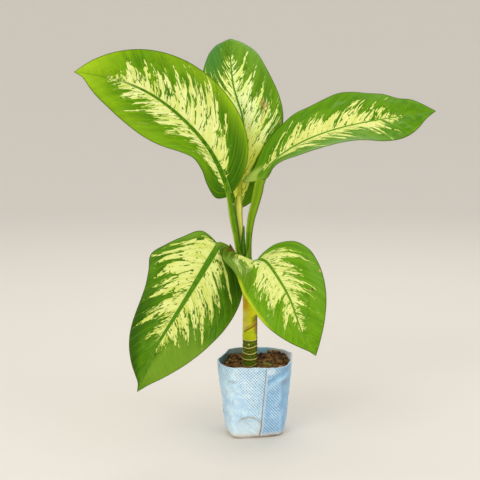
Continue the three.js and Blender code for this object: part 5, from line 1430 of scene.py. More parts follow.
def bag_mesh(mat_):
    ns, nr = 420, 150
    a = -np.pi / 2 + 2 * np.pi * np.arange(ns) / ns
    a = wrap_angle(a)
    rim = rim_z(a)
    # the cut edge is uneven and pinched at the side creases
    rim = rim + 0.45 * vnoise(np.stack([np.cos(a) * 6, np.sin(a) * 6, 0 * a], -1), 51) + 0.2 * vnoise(np.stack([np.cos(a) * 20, np.sin(a) * 20, 0 * a], -1), 52)
    rim = rim - 0.9 * np.exp(-((wrap_angle(a - 1.62) / 0.045) ** 2)) + 0.5 * np.exp(-((wrap_angle(a - 0.34) / 0.2) ** 2))
    v = np.linspace(0, 1, nr) ** 1.0
    rows, info = [], []

    def push(x, y, z, kind, zz):
        rows.append(np.stack([x, y, z], -1))
        info.append(np.stack([kind + 0 * z, zz + 0 * z, 0 * z], -1))

    zb = np.zeros(ns)
    # underside rings
    for k in (0.35, 0.7, 0.93):
        x, y = bag_point(a, zb, 2.0)
        push(x * k, y * k, zb + hem_lift(a, zb) * max(0, k - 0.6) / 0.4 * 0.8, 2.0, 0)
    for k in range(nr):
        z = v[k] * rim
        x, y = bag_point(a, z, 0.0)
        push(x, y, z + hem_lift(a, z), 0.0, z)
    # rounded cut edge
    x, y = bag_point(a, rim, WALL * 0.5)
    push(x, y, rim + 0.32, 1.0, rim)
    # inner wall
    for k in range(60):
        f = k / 59
        z = rim * (1 - f) + 4.0 * f
        x, y = bag_point(a, z, WALL)
        push(x, y, z, 3.0, z)
    for k in (0.7, 0.3):
        x, y = bag_point(a, zb + 4.0, WALL + 2)
        push(x * k, y * k, zb + 1.6 + 0 * a, 3.0, 0)
    P = np.array(rows)
    I = np.array(info)
    n = len(P)
    # distance round the bag from the seam, measured at each height
    ring_len = np.linalg.norm(P - np.roll(P, 1, axis=1), axis=2)
    arc = np.cumsum(ring_len, axis=1) - ring_len[:, :1]
    per = arc[:, -1:] + ring_len[:, :1]
    arc = np.where(arc > per / 2, arc - per, arc)
    arc = arc - seam_x(P[..., 2])
    V = P.reshape(-1, 3)
    Q = grid_faces(n, ns, wrap=True)
    V = np.vstack([V, [[0, 0, 0], [0, 0, 1.6]]])
    T = []
    for k in range(ns):
        k2 = (k + 1) % ns
        T.append((n * ns, k2, k))
        T.append((n * ns + 1, (n - 1) * ns + k, (n - 1) * ns + k2))
    Q, T = outward(V, Q, np.array(T))
    pad = lambda x: np.concatenate([x.reshape(-1), [x[0, 0], x[-1, 0]]])
    zat = P[..., 2]
    at = {
        "bg1": np.stack([pad(arc), pad(zat), pad(I[..., 0])], -1),
        "bg2": np.stack([pad(rim[None, :] - zat), pad(np.repeat(np.cos(a)[None], n, 0)), pad(np.repeat(np.sin(a)[None], n, 0))], -1),
    }
    # uv: height up the square, the way round across it
    vv = np.zeros(n)
    vv[:3] = (0.005, 0.012, 0.02)
    vv[3 : 3 + nr] = 0.03 + 0.72 * v
    vv[3 + nr] = 0.755
    vv[4 + nr : 64 + nr] = 0.76 + 0.21 * np.linspace(0, 1, 60)
    vv[64 + nr :] = (0.98, 0.99)
    tt = np.concatenate([np.repeat(vv, ns), [0.001, 0.999]])
    aa = np.concatenate([np.tile(np.arange(ns) / ns, n), [0.5, 0.5]])

    out = []
    for group in (Q, T):
        for f in group:
            f = np.asarray(f)
            av = aa[f].copy()
            if av.max() - av.min() > 0.6:
                av = np.where(av < 0.3, av + 1, av)
            out += [(x * 0.985 + 0.004, t) for x, t in zip(av, tt[f])]
    return make_mesh("grow_bag_cloth", V, Q, T, uv=np.array(out), attrs=at, material=mat_)


def bag_material():
    m = Mat("mat_bag")
    arc, z, kind = m.xyz("bg1")
    drop, ca, sa = m.xyz("bg2")
    x = m.objco()
    sp = m.nt.nodes.new("ShaderNodeSeparateXYZ")
    m.nt.links.new(x, sp.inputs[0])
    ox, oy, oz = sp.outputs
    X = m.mul(ox, 1000.0)
    Z = m.mul(oz, 1000.0)
    inner = m.step(kind, 2.4, 2.9, 0.0, 1.0, "LINEAR")
    front = m.step(sa, -0.45, -0.2, 1.0, 0.0)
    n_big = m.noise(x, 26.0, 3.0, 0.55)
    n_mid = m.noise(x, 85.0, 4.0, 0.6)
    n_fin = m.noise(x, 420.0, 3.0, 0.65)
    warp = m.mul(m.sub(m.noise(x, 60.0, 2.0, 0.5), 0.5), 2.2)
    w1 = m.add(arc, warp)
    k = 2.0 * math.pi / 4.0
    s1 = m.math("SINE", m.mul(m.sub(w1, z), k))  # threads that rise to the right
    s2 = m.math("SINE", m.mul(m.add(w1, z), k))  # threads that rise to the left
    Xn = m.madd(m.sub(n_mid, 0.5), 9.0, X)
    Zn = m.madd(m.sub(n_mid, 0.5), -9.0, Z)

    def both(v, a0, a1, w, b0, b1):
        return m.mul(m.step(v, a0, a1), m.step(w, b0, b1))

    def ellipse(x0, z0, rx, rz, rough=1.6):
        dx = m.mul(m.sub(X, x0), 1.0 / rx)
        dz = m.mul(m.sub(Z, z0), 1.0 / rz)
        r2 = m.add(m.mul(dx, dx), m.mul(dz, dz))
        return m.math("SQRT", m.math("MAXIMUM", m.madd(m.sub(n_mid, 0.5), rough, r2), 0.0001))

    on_front = m.step(oy, -0.012, -0.006, 1.0, 0.0)

    def blob(x0, z0, rx, rz, amt, soft=0.25):
        return m.mul(m.mul(m.step(ellipse(x0, z0, rx, rz), soft, 1.0, 1.0, 0.0), on_front), amt)

    def line(x0, z0, x1, z1, width, amt):
        L = math.hypot(x1 - x0, z1 - z0)
        nx, nz = (z1 - z0) / L, -(x1 - x0) / L
        dist = m.math("ABSOLUTE", m.madd(X, nx, m.madd(Z, nz, -(x0 * nx + z0 * nz))))
        dist = m.madd(m.sub(n_mid, 0.5), width * 0.9, dist)
        lo, hi = min(x0, x1), max(x0, x1)
        ends = m.mul(m.step(X, lo - 1.5, lo + 2.5), m.step(X, hi - 2.5, hi + 2.5, 1.0, 0.0))
        return m.mul(m.mul(m.mul(m.step(dist, 0.0, width, 1.0, 0.0), ends), on_front), amt)

    right = m.step(arc, -0.4, 0.6)
    left = m.sub(1.0, right)
    # where the woven lines still show on the front
    # (it fades downward and to the left, patch by patch)
    lim = m.step(Z, 20.0, 84.0, 4.0, -26.0, "LINEAR")
    zone = m.step(m.sub(Xn, lim), -9.0, 6.0)
    top = m.mul(both(Xn, -44.0, -36.0, Zn, 80.0, 90.0), 0.7)
    zone = m.math("MAXIMUM", zone, top)
    patchy = m.step(m.noise(x, 150.0, 3.0, 0.6), 0.36, 0.56, 0.45, 1.0)
    zone = m.mul(zone, patchy)
    rzone = m.mul(m.mul(m.step(Xn, 29.0, 36.0, 1.0, 0.0), patchy), 0.85)
    shown = m.math("MAXIMUM", m.mul(zone, left), m.mul(rzone, right))
    shown = m.math("MAXIMUM", shown, blob(-12.0, 17.6, 9.5, 9.5, 0.8, 0.5))
    shown = m.math("MAXIMUM", shown, m.mul(patchy, 0.2))
    rest = m.step(n_big, 0.36, 0.62, 0.30, 0.80)
    shown = m.mixf(front, rest, shown)
    swap = m.step(m.noise(x, 16.0, 1.0, 0.5), 0.46, 0.54)
    a1 = m.mixf(front, m.mixf(swap, 0.62, 0.42), m.mixf(right, 0.56, 0.24))
    a2 = m.mixf(front, m.mixf(swap, 0.42, 0.62), m.mixf(right, 0.50, 0.72))
    wv = m.add(m.mul(s1, a1), m.mul(s2, a2))
    wv = m.add(wv, m.mul(m.sub(n_fin, 0.5), 1.2))
    tone = m.math("MULTIPLY_ADD", m.mul(wv, shown), 0.60, 0.5, clamp=True)
    # cloth, paler to the left and a deeper blue to the right of the seam
    pale = m.mix(m.step(n_big, 0.34, 0.66), lin(186, 221, 246), lin(198, 231, 253))
    mot = m.noise(x, 210.0, 4.0, 0.65)
    pale = m.mix(m.mul(m.step(n_mid, 0.50, 0.64), 0.75), pale, lin(220, 244, 255))
    pale = m.mix(m.mul(m.step(n_mid, 0.36, 0.48, 1.0, 0.0), 0.55), pale, lin(163, 205, 234))
    pale = m.mix(m.mul(m.step(mot, 0.36, 0.48, 1.0, 0.0), 0.50), pale, lin(167, 201, 224))
    pale = m.mix(m.mul(m.step(mot, 0.54, 0.66), 0.50), pale, lin(228, 248, 255))
    deep_m = m.step(m.madd(m.sub(n_mid, 0.5), 5.0, arc), -0.8, 1.8)
    deep_c = m.mix(m.step(n_mid, 0.36, 0.66), lin(141, 188, 226), lin(167, 211, 243))
    deep_c = m.mix(m.mul(m.step(mot, 0.34, 0.46, 1.0, 0.0), 0.35), deep_c, lin(120, 164, 203))
    deep_c = m.mix(m.mul(m.step(mot, 0.55, 0.66), 0.35), deep_c, lin(192, 226, 249))
    blue = m.mix(m.mul(m.step(m.madd(m.sub(n_big, 0.5), 18.0, arc), -16.0, -3.0), 0.35), pale, lin(163, 207, 236))
    base = m.mix(m.mul(deep_m, front), blue, deep_c)
    side = m.mix(m.step(n_big, 0.38, 0.62), lin(163, 207, 238), lin(190, 224, 247))
    base = m.mix(front, side, base)
    fold = m.mul(m.step(X, 32.5, 34.5), m.step(sa, -0.3, -0.1, 1.0, 0.0))
    base = m.mix(m.mul(fold, 0.9), base, m.mix(m.step(n_mid, 0.4, 0.64), lin(132, 176, 214), lin(154, 194, 226)))
    dark = m.mix(1.0, base, lin(169, 186, 203), "MULTIPLY")
    lite = m.mix(0.68, base, lin(245, 255, 255))
    lo_t = m.step(tone, 0.02, 0.5, 1.0, 0.0)
    hi_t = m.step(tone, 0.5, 0.98)
    col = m.mix(lo_t, base, dark)
    col = m.mix(m.mul(hi_t, m.mixf(right, 1.0, 0.62)), col, lite)
    # the crease that climbs to the right: a ridge of painted light under a hollow of painted shade, and a second
    # painted shade line lower down
    col = m.mix(line(14.0, 73.5, 44.0, 93.0, 4.2, 0.60), col, lin(120, 168, 200))
    col = m.mix(line(15.0, 66.5, 42.0, 84.0, 4.0, 0.50), col, lin(190, 232, 255))
    col = m.mix(line(20.0, 60.0, 40.0, 72.0, 3.2, 0.35), col, lin(129, 170, 203))
    # fine woven tapes
    tp = m.math("SINE", m.mul(arc, 2.0 * math.pi / 1.15))
    tp2 = m.math("SINE", m.mul(z, 2.0 * math.pi / 1.15))
    tape = m.mul(m.mul(tp, tp2), 0.5)
    col = m.mix(m.mul(m.step(tape, 0.0, 0.5), 0.12), col, lin(238, 246, 250))
    col = m.mix(m.mul(m.step(n_fin, 0.55, 0.72), 0.16), col, lin(158, 184, 202))
    # wear, dust and stains
    grey = lin(166, 178, 182)
    for args in ((-28.5, 77.0, 7.5, 3.4, 0.60), (-28.0, 50.0, 2.2, 7.0, 0.60), (-38.0, 60.0, 3.0, 9.0, 0.25), (-24.0, 88.0, 3.0, 2.6, 0.3), (-34.0, 34.0, 4.0, 6.0, 0.30)):
        col = m.mix(blob(*args), col, grey)
    # a greyer blue patch below the right end of the crease
    col = m.mix(blob(38.5, 74.5, 6.5, 6.0, 0.6), col, lin(146, 158, 180))
    col = m.mix(blob(-46.0, 93.5, 2.4, 4.6, 0.6), col, lin(160, 152, 158))
    # dried water mark: a tan arc round a paler patch
    r = ellipse(-7.5, 15.0, 16.0, 14.0, 0.5)
    inside = m.mul(m.mul(m.step(r, 0.80, 1.0, 1.0, 0.0), on_front), 0.30)
    col = m.mix(inside, col, lin(218, 232, 240))
    ringm = m.step(m.math("ABSOLUTE", m.sub(r, 1.03)), 0.03, 0.18, 1.0, 0.0)
    ringm = m.mul(m.mul(ringm, m.step(m.madd(m.sub(n_mid, 0.5), 14.0, Z), 14.0, 22.0)), on_front)
    ringm = m.mul(ringm, m.step(X, -24.0, -18.0))
    col = m.mix(m.mul(ringm, m.step(mot, 0.40, 0.56, 0.15, 0.85)), col, lin(166, 164, 154))
    col = m.mix(blob(-14.0, 28.5, 7.0, 3.0, 0.6), col, lin(172, 172, 164))
    col = m.mix(blob(-1.0, 28.5, 6.0, 2.2, 0.4), col, lin(186, 178, 166))
    col = m.mix(blob(5.5, 8.5, 7.5, 7.5, 0.75), col, lin(176, 164, 142))
    col = m.mix(blob(8.5, 19.0, 2.8, 8.0, 0.6), col, lin(176, 172, 158))
    col = m.mix(blob(-22.0, 7.0, 7.0, 5.0, 0.5), col, lin(212, 208, 196))
    # paler, near white, low on the left of the front
    col = m.mix(m.mul(m.mul(left, on_front), m.step(Zn, 10.0, 30.0, 0.42, 0.0)), col, lin(236, 252, 255))
    # light strip just right of the seam, brighter at its top
    strip = m.mul(m.step(arc, 0.6, 1.2), m.step(m.madd(m.sub(n_mid, 0.5), 1.6, arc), 2.2, 3.6, 1.0, 0.0))
    col = m.mix(m.mul(m.mul(strip, front), m.step(Z, 60.0, 72.0, 0.62, 0.78)), col, lin(210, 218, 222))
    col = m.mix(blob(21.0, 91.0, 8.0, 6.5, 0.70), col, lin(226, 240, 248))
    hem = m.step(m.madd(m.sub(n_mid, 0.5), 6.0, z), 4.0, 8.0, 1.0, 0.0)
    col = m.mix(m.mul(hem, 0.8), col, lin(222, 220, 212))
    dirt = m.step(m.madd(m.sub(n_mid, 0.5), 9.0, z), 1.0, 5.0, 1.0, 0.0)
    col = m.mix(m.mul(dirt, m.step(n_big, 0.4, 0.6, 0.25, 0.7)), col, lin(172, 146, 118))
    # soil splashes round the sides and back
    backm = m.step(sa, -0.2, 0.3)
    spl = m.mul(m.step(n_fin, 0.60, 0.68), m.step(n_big, 0.52, 0.66))
    col = m.mix(m.mul(spl, 0.30), col, lin(150, 132, 108))
    soft = m.mul(backm, m.step(n_big, 0.52, 0.70))
    col = m.mix(m.mul(soft, 0.20), col, lin(178, 182, 172))
    # cut edge
    edge = m.step(m.math("ABSOLUTE", drop), 0.2, 0.9, 1.0, 0.0)
    col = m.mix(m.mul(edge, 0.5), col, lin(214, 226, 230))
    # inside: painted shade and grime on the left, lighter blue towards the right and back, darker brown low down near
    # the soil
    grime_and_shade = m.step(m.madd(m.sub(n_mid, 0.5), 16.0, X), -4.0, 6.0, 1.0, 0.0)
    inn = m.mix(grime_and_shade, m.mix(m.step(X, 16.0, 30.0), lin(166, 220, 252), lin(196, 206, 206)), m.mix(m.step(n_mid, 0.44, 0.58), lin(86, 112, 112), lin(134, 156, 156)))
    low = m.step(m.madd(m.sub(n_mid, 0.5), 8.0, drop), 8.0, 13.0)
    inn = m.mix(m.mul(low, 0.75), inn, lin(70, 60, 50))
    inn = m.mix(m.mul(m.step(ca, 0.74, 0.92), 0.85), inn, lin(232, 234, 232))
    col = m.mix(inner, col, inn)
    rough = m.madd(m.sub(n_mid, 0.5), 0.22, 0.68)
    h = m.add(m.mul(wv, m.mul(shown, 0.5)), m.mul(tape, 0.35))
    h = m.add(h, m.mul(n_fin, 0.35))
    m.set(Base_Color=col, Roughness=rough, Normal=m.bump(h, 0.5, 0.0004))
    m.set(Specular_IOR_Level=0.25, Sheen_Weight=0.06, Sheen_Roughness=0.45)
    return m.m


def seam_mesh():
    """A folded edge with its row of stitches."""
    nz = 240
    z = np.linspace(2.5, 95.6, nz)
    xs = seam_x(z) + 0.35 * vnoise(np.stack([z / 14, 0 * z, 0 * z], -1), 61) - 1.2 * (1 - smooth(z, 3, 14))
    # find the wall under the seam
    a = np.full(nz, -np.pi / 2)
    for _ in range(24):
        x, y = bag_point(a, z, 0.0)
        a = a + (xs - x) / np.maximum(np.hypot(x, y), 1) * 0.9
    x, y = bag_point(a, z, 0.0)
    C = np.stack([x, y - 0.05, z], -1)
    prof = [(-0.6, 0.25), (-0.42, -0.2), (-0.1, -0.36), (0.2, -0.32), (0.5, -0.14), (0.75, 0.25), (0.3, 0.5), (-0.35, 0.5)]
    wob = 0.12 * vnoise(np.stack([z / 3.0, 0 * z, 0 * z + 2], -1), 63)
    rows = []
    for k in range(nz):
        end = min(1.0, min(k, nz - 1 - k) / 4 + 0.25)
        rows.append([[C[k, 0] + px * (0.8 + wob[k]) * end, C[k, 1] + py * (0.85 + wob[k]) * end, z[k]] for px, py in prof])
    P = np.array(rows)
    ns = len(prof)
    V = P.reshape(-1, 3)
    Q = grid_faces(nz, ns, wrap=True)
    V = np.vstack([V, P[0].mean(0), P[-1].mean(0)])
    T = []
    for k in range(ns):
        k2 = (k + 1) % ns
        T.append((nz * ns, k2, k))
        T.append((nz * ns + 1, (nz - 1) * ns + k, (nz - 1) * ns + k2))
    Q, T = outward(V, Q, np.array(T))
    verts, quads, tris = [V], [Q], [T]
    kind = [np.zeros(len(V))]
    base = len(V)
    # stitches: short slanting threads standing on the fold
    for k, zc in enumerate(np.arange(5.0, 93.5, 2.9)):
        i = int(np.argmin(np.abs(z - zc)))
        c = C[i] + np.array([-0.05, -0.4, 0])
        n = 7
        t = np.linspace(-1, 1, n)
        pts = np.stack([c[0] + 0.22 * t, c[1] - 0.22 * (1 - t**2) + 0.12, zc + 1.15 * t], -1)
        vv, qq, tr, tt, aa = tube(pts, 0.2 * np.sqrt(np.clip(1 - 0.8 * t**2, 0.1, 1)), np.tile([[0.0, -1.0, 0.0]], (n, 1)), sides=8)
        verts.append(vv)
        quads.append(qq + base)
        tris.append(np.asarray(tr) + base)
        kind.append(np.ones(len(vv)))
        base += len(vv)
    V = np.vstack(verts)
    Q = np.vstack(quads)
    T = np.vstack(tris)
    kd = np.concatenate(kind)
    m = Mat("mat_seam")
    kk, zz, _ = m.xyz("st")
    x = m.objco()
    n1 = m.noise(x, 300.0, 3.0, 0.6)
    n2 = m.noise(x, 70.0, 2.0, 0.6)
    col = m.mix(m.step(n1, 0.36, 0.62), lin(112, 130, 138), lin(150, 168, 176))
    col = m.mix(m.mul(m.step(n2, 0.46, 0.58), 0.7), col, lin(150, 146, 136))
    col = m.mix(m.step(zz, 62.0, 84.0, 0.0, 0.60), col, lin(126, 164, 188))
    col = m.mix(m.step(zz, 12.0, 30.0, 0.8, 0.0), col, lin(96, 80, 62))
    col = m.mix(m.mul(kk, 0.55), col, m.mix(n1, lin(120, 136, 146), lin(160, 176, 186)))
    m.set(Base_Color=col, Roughness=m.madd(n1, 0.2, 0.6), Normal=m.bump(n1, 0.5, 0.0004))
    uv = np.stack([(V[:, 0] - V[:, 0].min()) / 24.0 * 0.9 + 0.05, V[:, 2] / 100.0], -1)
    return make_mesh("bag_seam_fold", V, Q, T, uv=uv, attrs={"st": np.stack([kd, V[:, 2], 0 * kd], -1)}, material=m.m)


# --------------------------------------------------------------------------
# soil, roots, weed
# --------------------------------------------------------------------------
def soil_height(x, y):
    mound = 8.6 * np.exp(-((x - 27) ** 2 + (y - 27) ** 2) / 250) + 3.4 * np.exp(-((x + 24) ** 2 + (y - 24) ** 2) / 260)
    return 90 - 0.9 + 0.045 * y + mound + 0.7 * np.sin(0.31 * x + 0.9) * np.cos(0.27 * y) + 0.5 * np.sin(0.55 * x - 0.4 * y)


def soil_crumb(x, y):
    p = np.stack([x, y, 0 * x], -1)
    lumps = 1.5 * vnoise(p / 5.6, 71)
    mid = 1.5 * np.abs(vnoise(p / 3.1, 73)) + 0.7 * np.abs(vnoise(p / 1.6, 75))
    fine = 0.25 * vnoise(p / 0.8, 77)
    return lumps + mid + fine - 0.8


def soil_mesh(mat_):
    ns, nr = 300, 74
    a = 2 * np.pi * np.arange(ns) / ns - np.pi
    cx, cy = -6.0, 0.0
    # outline of the soil's top: the bag's inner wall
    ox, oy = bag_point(a, np.full(ns, 90.0), WALL + 0.4)
    aa = np.arctan2(oy - cy, ox - cx)
    rr = np.hypot(ox - cx, oy - cy)
    order = np.argsort(aa)
    rout = np.interp(a, np.concatenate([aa[order] - 2 * np.pi, aa[order], aa[order] + 2 * np.pi]), np.tile(rr[order], 3))
    rows = []
    f = np.linspace(0, 1, nr)
    for k in range(nr):
        r = 9.55 + (rout - 9.55) * f[k]
        x, y = cx + r * np.cos(a), cy + r * np.sin(a)
        z = soil_height(x, y) + soil_crumb(x, y) * smooth(f[k], 0.0, 0.04)
        z = z - 1.3 * np.exp(-((r - 9.5) / 2.2) ** 2) + 0.5 * np.exp(-(((r - 14) / 3.0) ** 2))
        z = z - 1.2 * smooth(f[k], 0.95, 1.0)
        rows.append(np.stack([x, y, z], -1))
    top = np.array(rows)
    hole = []
    for z in (54.4, 60.0, 72.0, 82.0):
        r = 9.55
        hole.append(np.stack([cx + r * np.cos(a), cy + r * np.sin(a), z + 0 * a], -1))
    side = []
    for z in np.concatenate([np.linspace(86.0, 8.0, 34), [5.0]]):
        x, y = bag_point(a, np.full(ns, z), WALL + 0.9)
        at2 = np.arctan2(y - cy, x - cx)
        r2 = np.hypot(x - cx, y - cy)
        o = np.argsort(at2)
        r = np.interp(a, np.concatenate([at2[o] - 2 * np.pi, at2[o], at2[o] + 2 * np.pi]), np.tile(r2[o], 3))
        side.append(np.stack([cx + r * np.cos(a), cy + r * np.sin(a), z + 0 * a], -1))
    last = side[-1]
    mid = last.mean(0)
    side.append(mid + (last - mid) * [0.9, 0.9, 1] + [0, 0, -2.6])
    P = np.concatenate([np.array(hole), top, np.array(side)])
    n = len(P)
    V = P.reshape(-1, 3)
    Q = grid_faces(n, ns, wrap=True)
    V = np.vstack([V, [[cx, cy, 54.2]], [[mid[0], mid[1], 2.4]]])
    T = []
    for k in range(ns):
        k2 = (k + 1) % ns
        T.append((n * ns, k2, k))
        T.append((n * ns + 1, (n - 1) * ns + k, (n - 1) * ns + k2))
    Q, T = outward(V, Q, np.array(T))
    uv = np.concatenate([np.clip(np.stack([P[..., 0].ravel(), P[..., 1].ravel()], -1) / 104.0 + 0.5, 0, 1), [[0.44, 0.5], [0.5, 0.5]]])
    return make_mesh("soil_bed", V, Q, T, uv=uv, material=mat_)


def soil_clods(mat_):
    """Loose crumbs and bark bits lying on the soil."""
    r = np.random.default_rng(21)
    ico = bmesh_ico()
    bv, bf = ico
    verts, faces, tone = [], [], []
    base = 0
    count, tries = 0, 0
    while count < 620 and tries < 6000:
        tries += 1
        x, y = r.uniform(-47, 47), r.uniform(-47, 47)
        if math.hypot(x + 6, y) < 11.0:
            continue
        size = 0.55 + 2.1 * r.random() ** 3.2
        if math.hypot(x - 27, y - 27) < 17:
            size *= 1.3
        wx, wy = bag_point(np.array(math.atan2(y, x)), np.array(90.0), WALL)
        if math.hypot(x, y) > float(np.hypot(wx, wy)) - 1.2 * size or math.hypot(x + 6, y) < 10.6 + size:
            continue
        sc = np.array([r.uniform(0.75, 1.25), r.uniform(0.75, 1.25), r.uniform(0.55, 0.95)]) * size
        if r.random() < 0.10:
            sc = np.array([r.uniform(1.6, 2.6), 0.5, 0.4]) * size * 0.8
        v = bv * (1 + 0.32 * vnoise(bv * 1.7 + r.uniform(0, 90, 3), 81)[:, None] + 0.12 * vnoise(bv * 4.1 + r.uniform(0, 90, 3), 82)[:, None])
        v = v * sc
        an = r.uniform(0, 2 * np.pi)
        ti = r.uniform(-0.5, 0.5)
        ca, sa = math.cos(an), math.sin(an)
        ct, st_ = math.cos(ti), math.sin(ti)
        v = v @ np.array([[1, 0, 0], [0, ct, st_], [0, -st_, ct]])
        v = v @ np.array([[ca, sa, 0], [-sa, ca, 0], [0, 0, 1]])
        z = float(soil_height(np.array(x), np.array(y)) + soil_crumb(np.array([x]), np.array([y]))[0])
        v = v + np.array([x, y, z + sc[2] * 0.25])
        verts.append(v)
        faces.append(bf + base)
        tone.append(np.full(len(v), r.random()))
        base += len(v)
        count += 1
    V = np.vstack(verts)
    F = np.vstack(faces)
    uv = np.clip(V[:, :2] / 104.0 + 0.5, 0, 1)
    return make_mesh("soil_crumbs", V, np.zeros((0, 4), int), F, uv=uv, attrs={"tone": np.concatenate(tone)}, material=mat_)


def bmesh_ico():
    import bmesh

    bm = bmesh.new()
    bmesh.ops.create_icosphere(bm, subdivisions=2, radius=1.0)
    bm.verts.ensure_lookup_table()
    v = np.array([tuple(x.co) for x in bm.verts])
    f = np.array([[y.index for y in x.verts] for x in bm.faces])
    bm.free()
    return v, f


def soil_material(crumbs=False):
    m = Mat("mat_soil_crumbs" if crumbs else "mat_soil")
    x = m.objco()
    n1 = m.noise(x, 110.0, 5.0, 0.7)
    n2 = m.noise(x, 480.0, 4.0, 0.7)
    v1 = m.voronoi(x, 380.0)
    n3 = m.noise(x, 38.0, 3.0, 0.6)
    col = m.mix(m.step(n1, 0.40, 0.60), lin(44, 28, 8), lin(128, 92, 44))
    col = m.mix(m.mul(m.step(n2, 0.52, 0.66), 0.8), col, lin(178, 134, 80))
    col = m.mix(m.step(v1, 0.0, 0.30, 0.6, 0.0), col, lin(34, 22, 7))
    col = m.mix(m.mul(m.step(n3, 0.52, 0.66), 0.45), col, lin(154, 110, 56))
    # painted shade: dark soil in the hollow behind the cane and on the back of the mound
    sep = m.nt.nodes.new("ShaderNodeSeparateXYZ")
    m.nt.links.new(x, sep.inputs[0])
    wx = m.madd(m.sub(n3, 0.5), 0.016, sep.outputs[0])
    shade_behind_cane = m.mul(m.step(wx, 0.000, 0.006), m.step(sep.outputs[1], 0.012, 0.022))
    col = m.mix(m.mul(shade_behind_cane, 0.62), col, lin(44, 27, 10))
    col = m.mix(m.mul(m.step(n3, 0.34, 0.46, 1.0, 0.0), 0.55), col, lin(36, 22, 7))
    if crumbs:
        tone = m.attr("tone").outputs["Fac"]
        col = m.mix(m.step(tone, 0.50, 1.0, 0.0, 0.6), col, lin(162, 118, 66))
        col = m.mix(m.step(tone, 0.0, 0.32, 0.6, 0.0), col, lin(44, 27, 11))
        col = m.mix(m.step(tone, 0.97, 0.985, 0.0, 0.7), col, lin(196, 162, 112))
    m.set(Base_Color=col, Roughness=m.madd(n2, 0.12, 0.82), Normal=m.bump(m.add(n2, m.mul(n1, 0.6)), 0.7, 0.0009))
    m.set(Specular_IOR_Level=0.2)
    return m.m


def roots_mesh():
    verts, quads, tris, tv = [], [], [], []
    base = 0

    def put(C, R, up, sides=12):
        nonlocal base
        v, q, t, tt, aa = tube(np.asarray(C, float), np.asarray(R, float), up, sides=sides)
        v = v + 0.18 * np.stack([vnoise(v / 2.2, 91), vnoise(v / 2.2, 92), vnoise(v / 2.2, 93)], -1)
        verts.append(v)
        quads.append(np.asarray(q) + base)
        tris.append(np.asarray(t) + base)
        tv.append(np.stack([tt, aa, 0 * tt], -1))
        base += len(v)

    zc = np.linspace(54.4, 26.5, 24)
    rc = np.interp(zc, [26, 32, 42, 50, 54.65], [1.8, 4, 7, 8.4, 7.6])
    put(np.stack([cane_x(zc), 0 * zc, zc], -1), rc, np.tile([[1.0, 0, 0]], (24, 1)), 28)
    for i in range(7):
        a = 2 * math.pi * i / 7 + 0.3
        c, s = math.cos(a), math.sin(a)
        z0 = 48 - (i % 3) * 5
        rch = 24 + (i % 2) * 5
        low = 16 + (i % 3) * 9
        cx = -6.0
        P = [(cx + 3 * c, 3 * s, z0), (cx + 12 * c - 2 * s, 12 * s + 2 * c, z0 - 3), (cx + 0.8 * rch * c + 2 * s, 0.8 * rch * s - 2 * c, (z0 + low) / 2), (cx + rch * c, rch * s, low)]
        C, t, ln = arc_resample(P, 40)
        put(C, 2.1 + (0.7 - 2.1) * t, np.tile([[0, 0, 1.0]], (40, 1)), 12)
        for j, f in enumerate((0.4, 0.62, 0.8)):
            k = int(f * 39)
            d = np.array([-s, c, -0.5]) * (1 if (i + j) % 2 else -1)
            d[2] = -0.7
            d = d / np.linalg.norm(d)
            q = [C[k] + d * w + np.array([0, 0, -0.02 * w * w]) for w in (0, 3.0, 6.0, 9.0)]
            C2, t2, _ = arc_resample(q, 14)
            put(C2, 0.6 - 0.42 * t2, np.tile([[c, s, 0.2]], (14, 1)), 8)
    V, Q, T = np.vstack(verts), np.vstack(quads), np.vstack(tris)
    m = Mat("mat_roots")
    x = m.objco()
    n1 = m.noise(x, 160.0, 4.0, 0.65)
    n2 = m.noise(x, 620.0, 2.0, 0.6)
    col = m.mix(m.step(n1, 0.35, 0.65), lin(150, 118, 76), lin(206, 182, 136))
    col = m.mix(m.mul(m.step(n2, 0.52, 0.66), 0.5), col, lin(92, 64, 38))
    m.set(Base_Color=col, Roughness=m.madd(n1, 0.2, 0.65), Normal=m.bump(m.add(n1, n2), 0.5, 0.0006))
    uv = np.stack([np.concatenate([t[:, 1] for t in tv]) * 0.49 + 0.5, np.concatenate([t[:, 0] for t in tv])], -1)
    return make_mesh("root_system", V, Q, T, uv=uv, material=m.m)


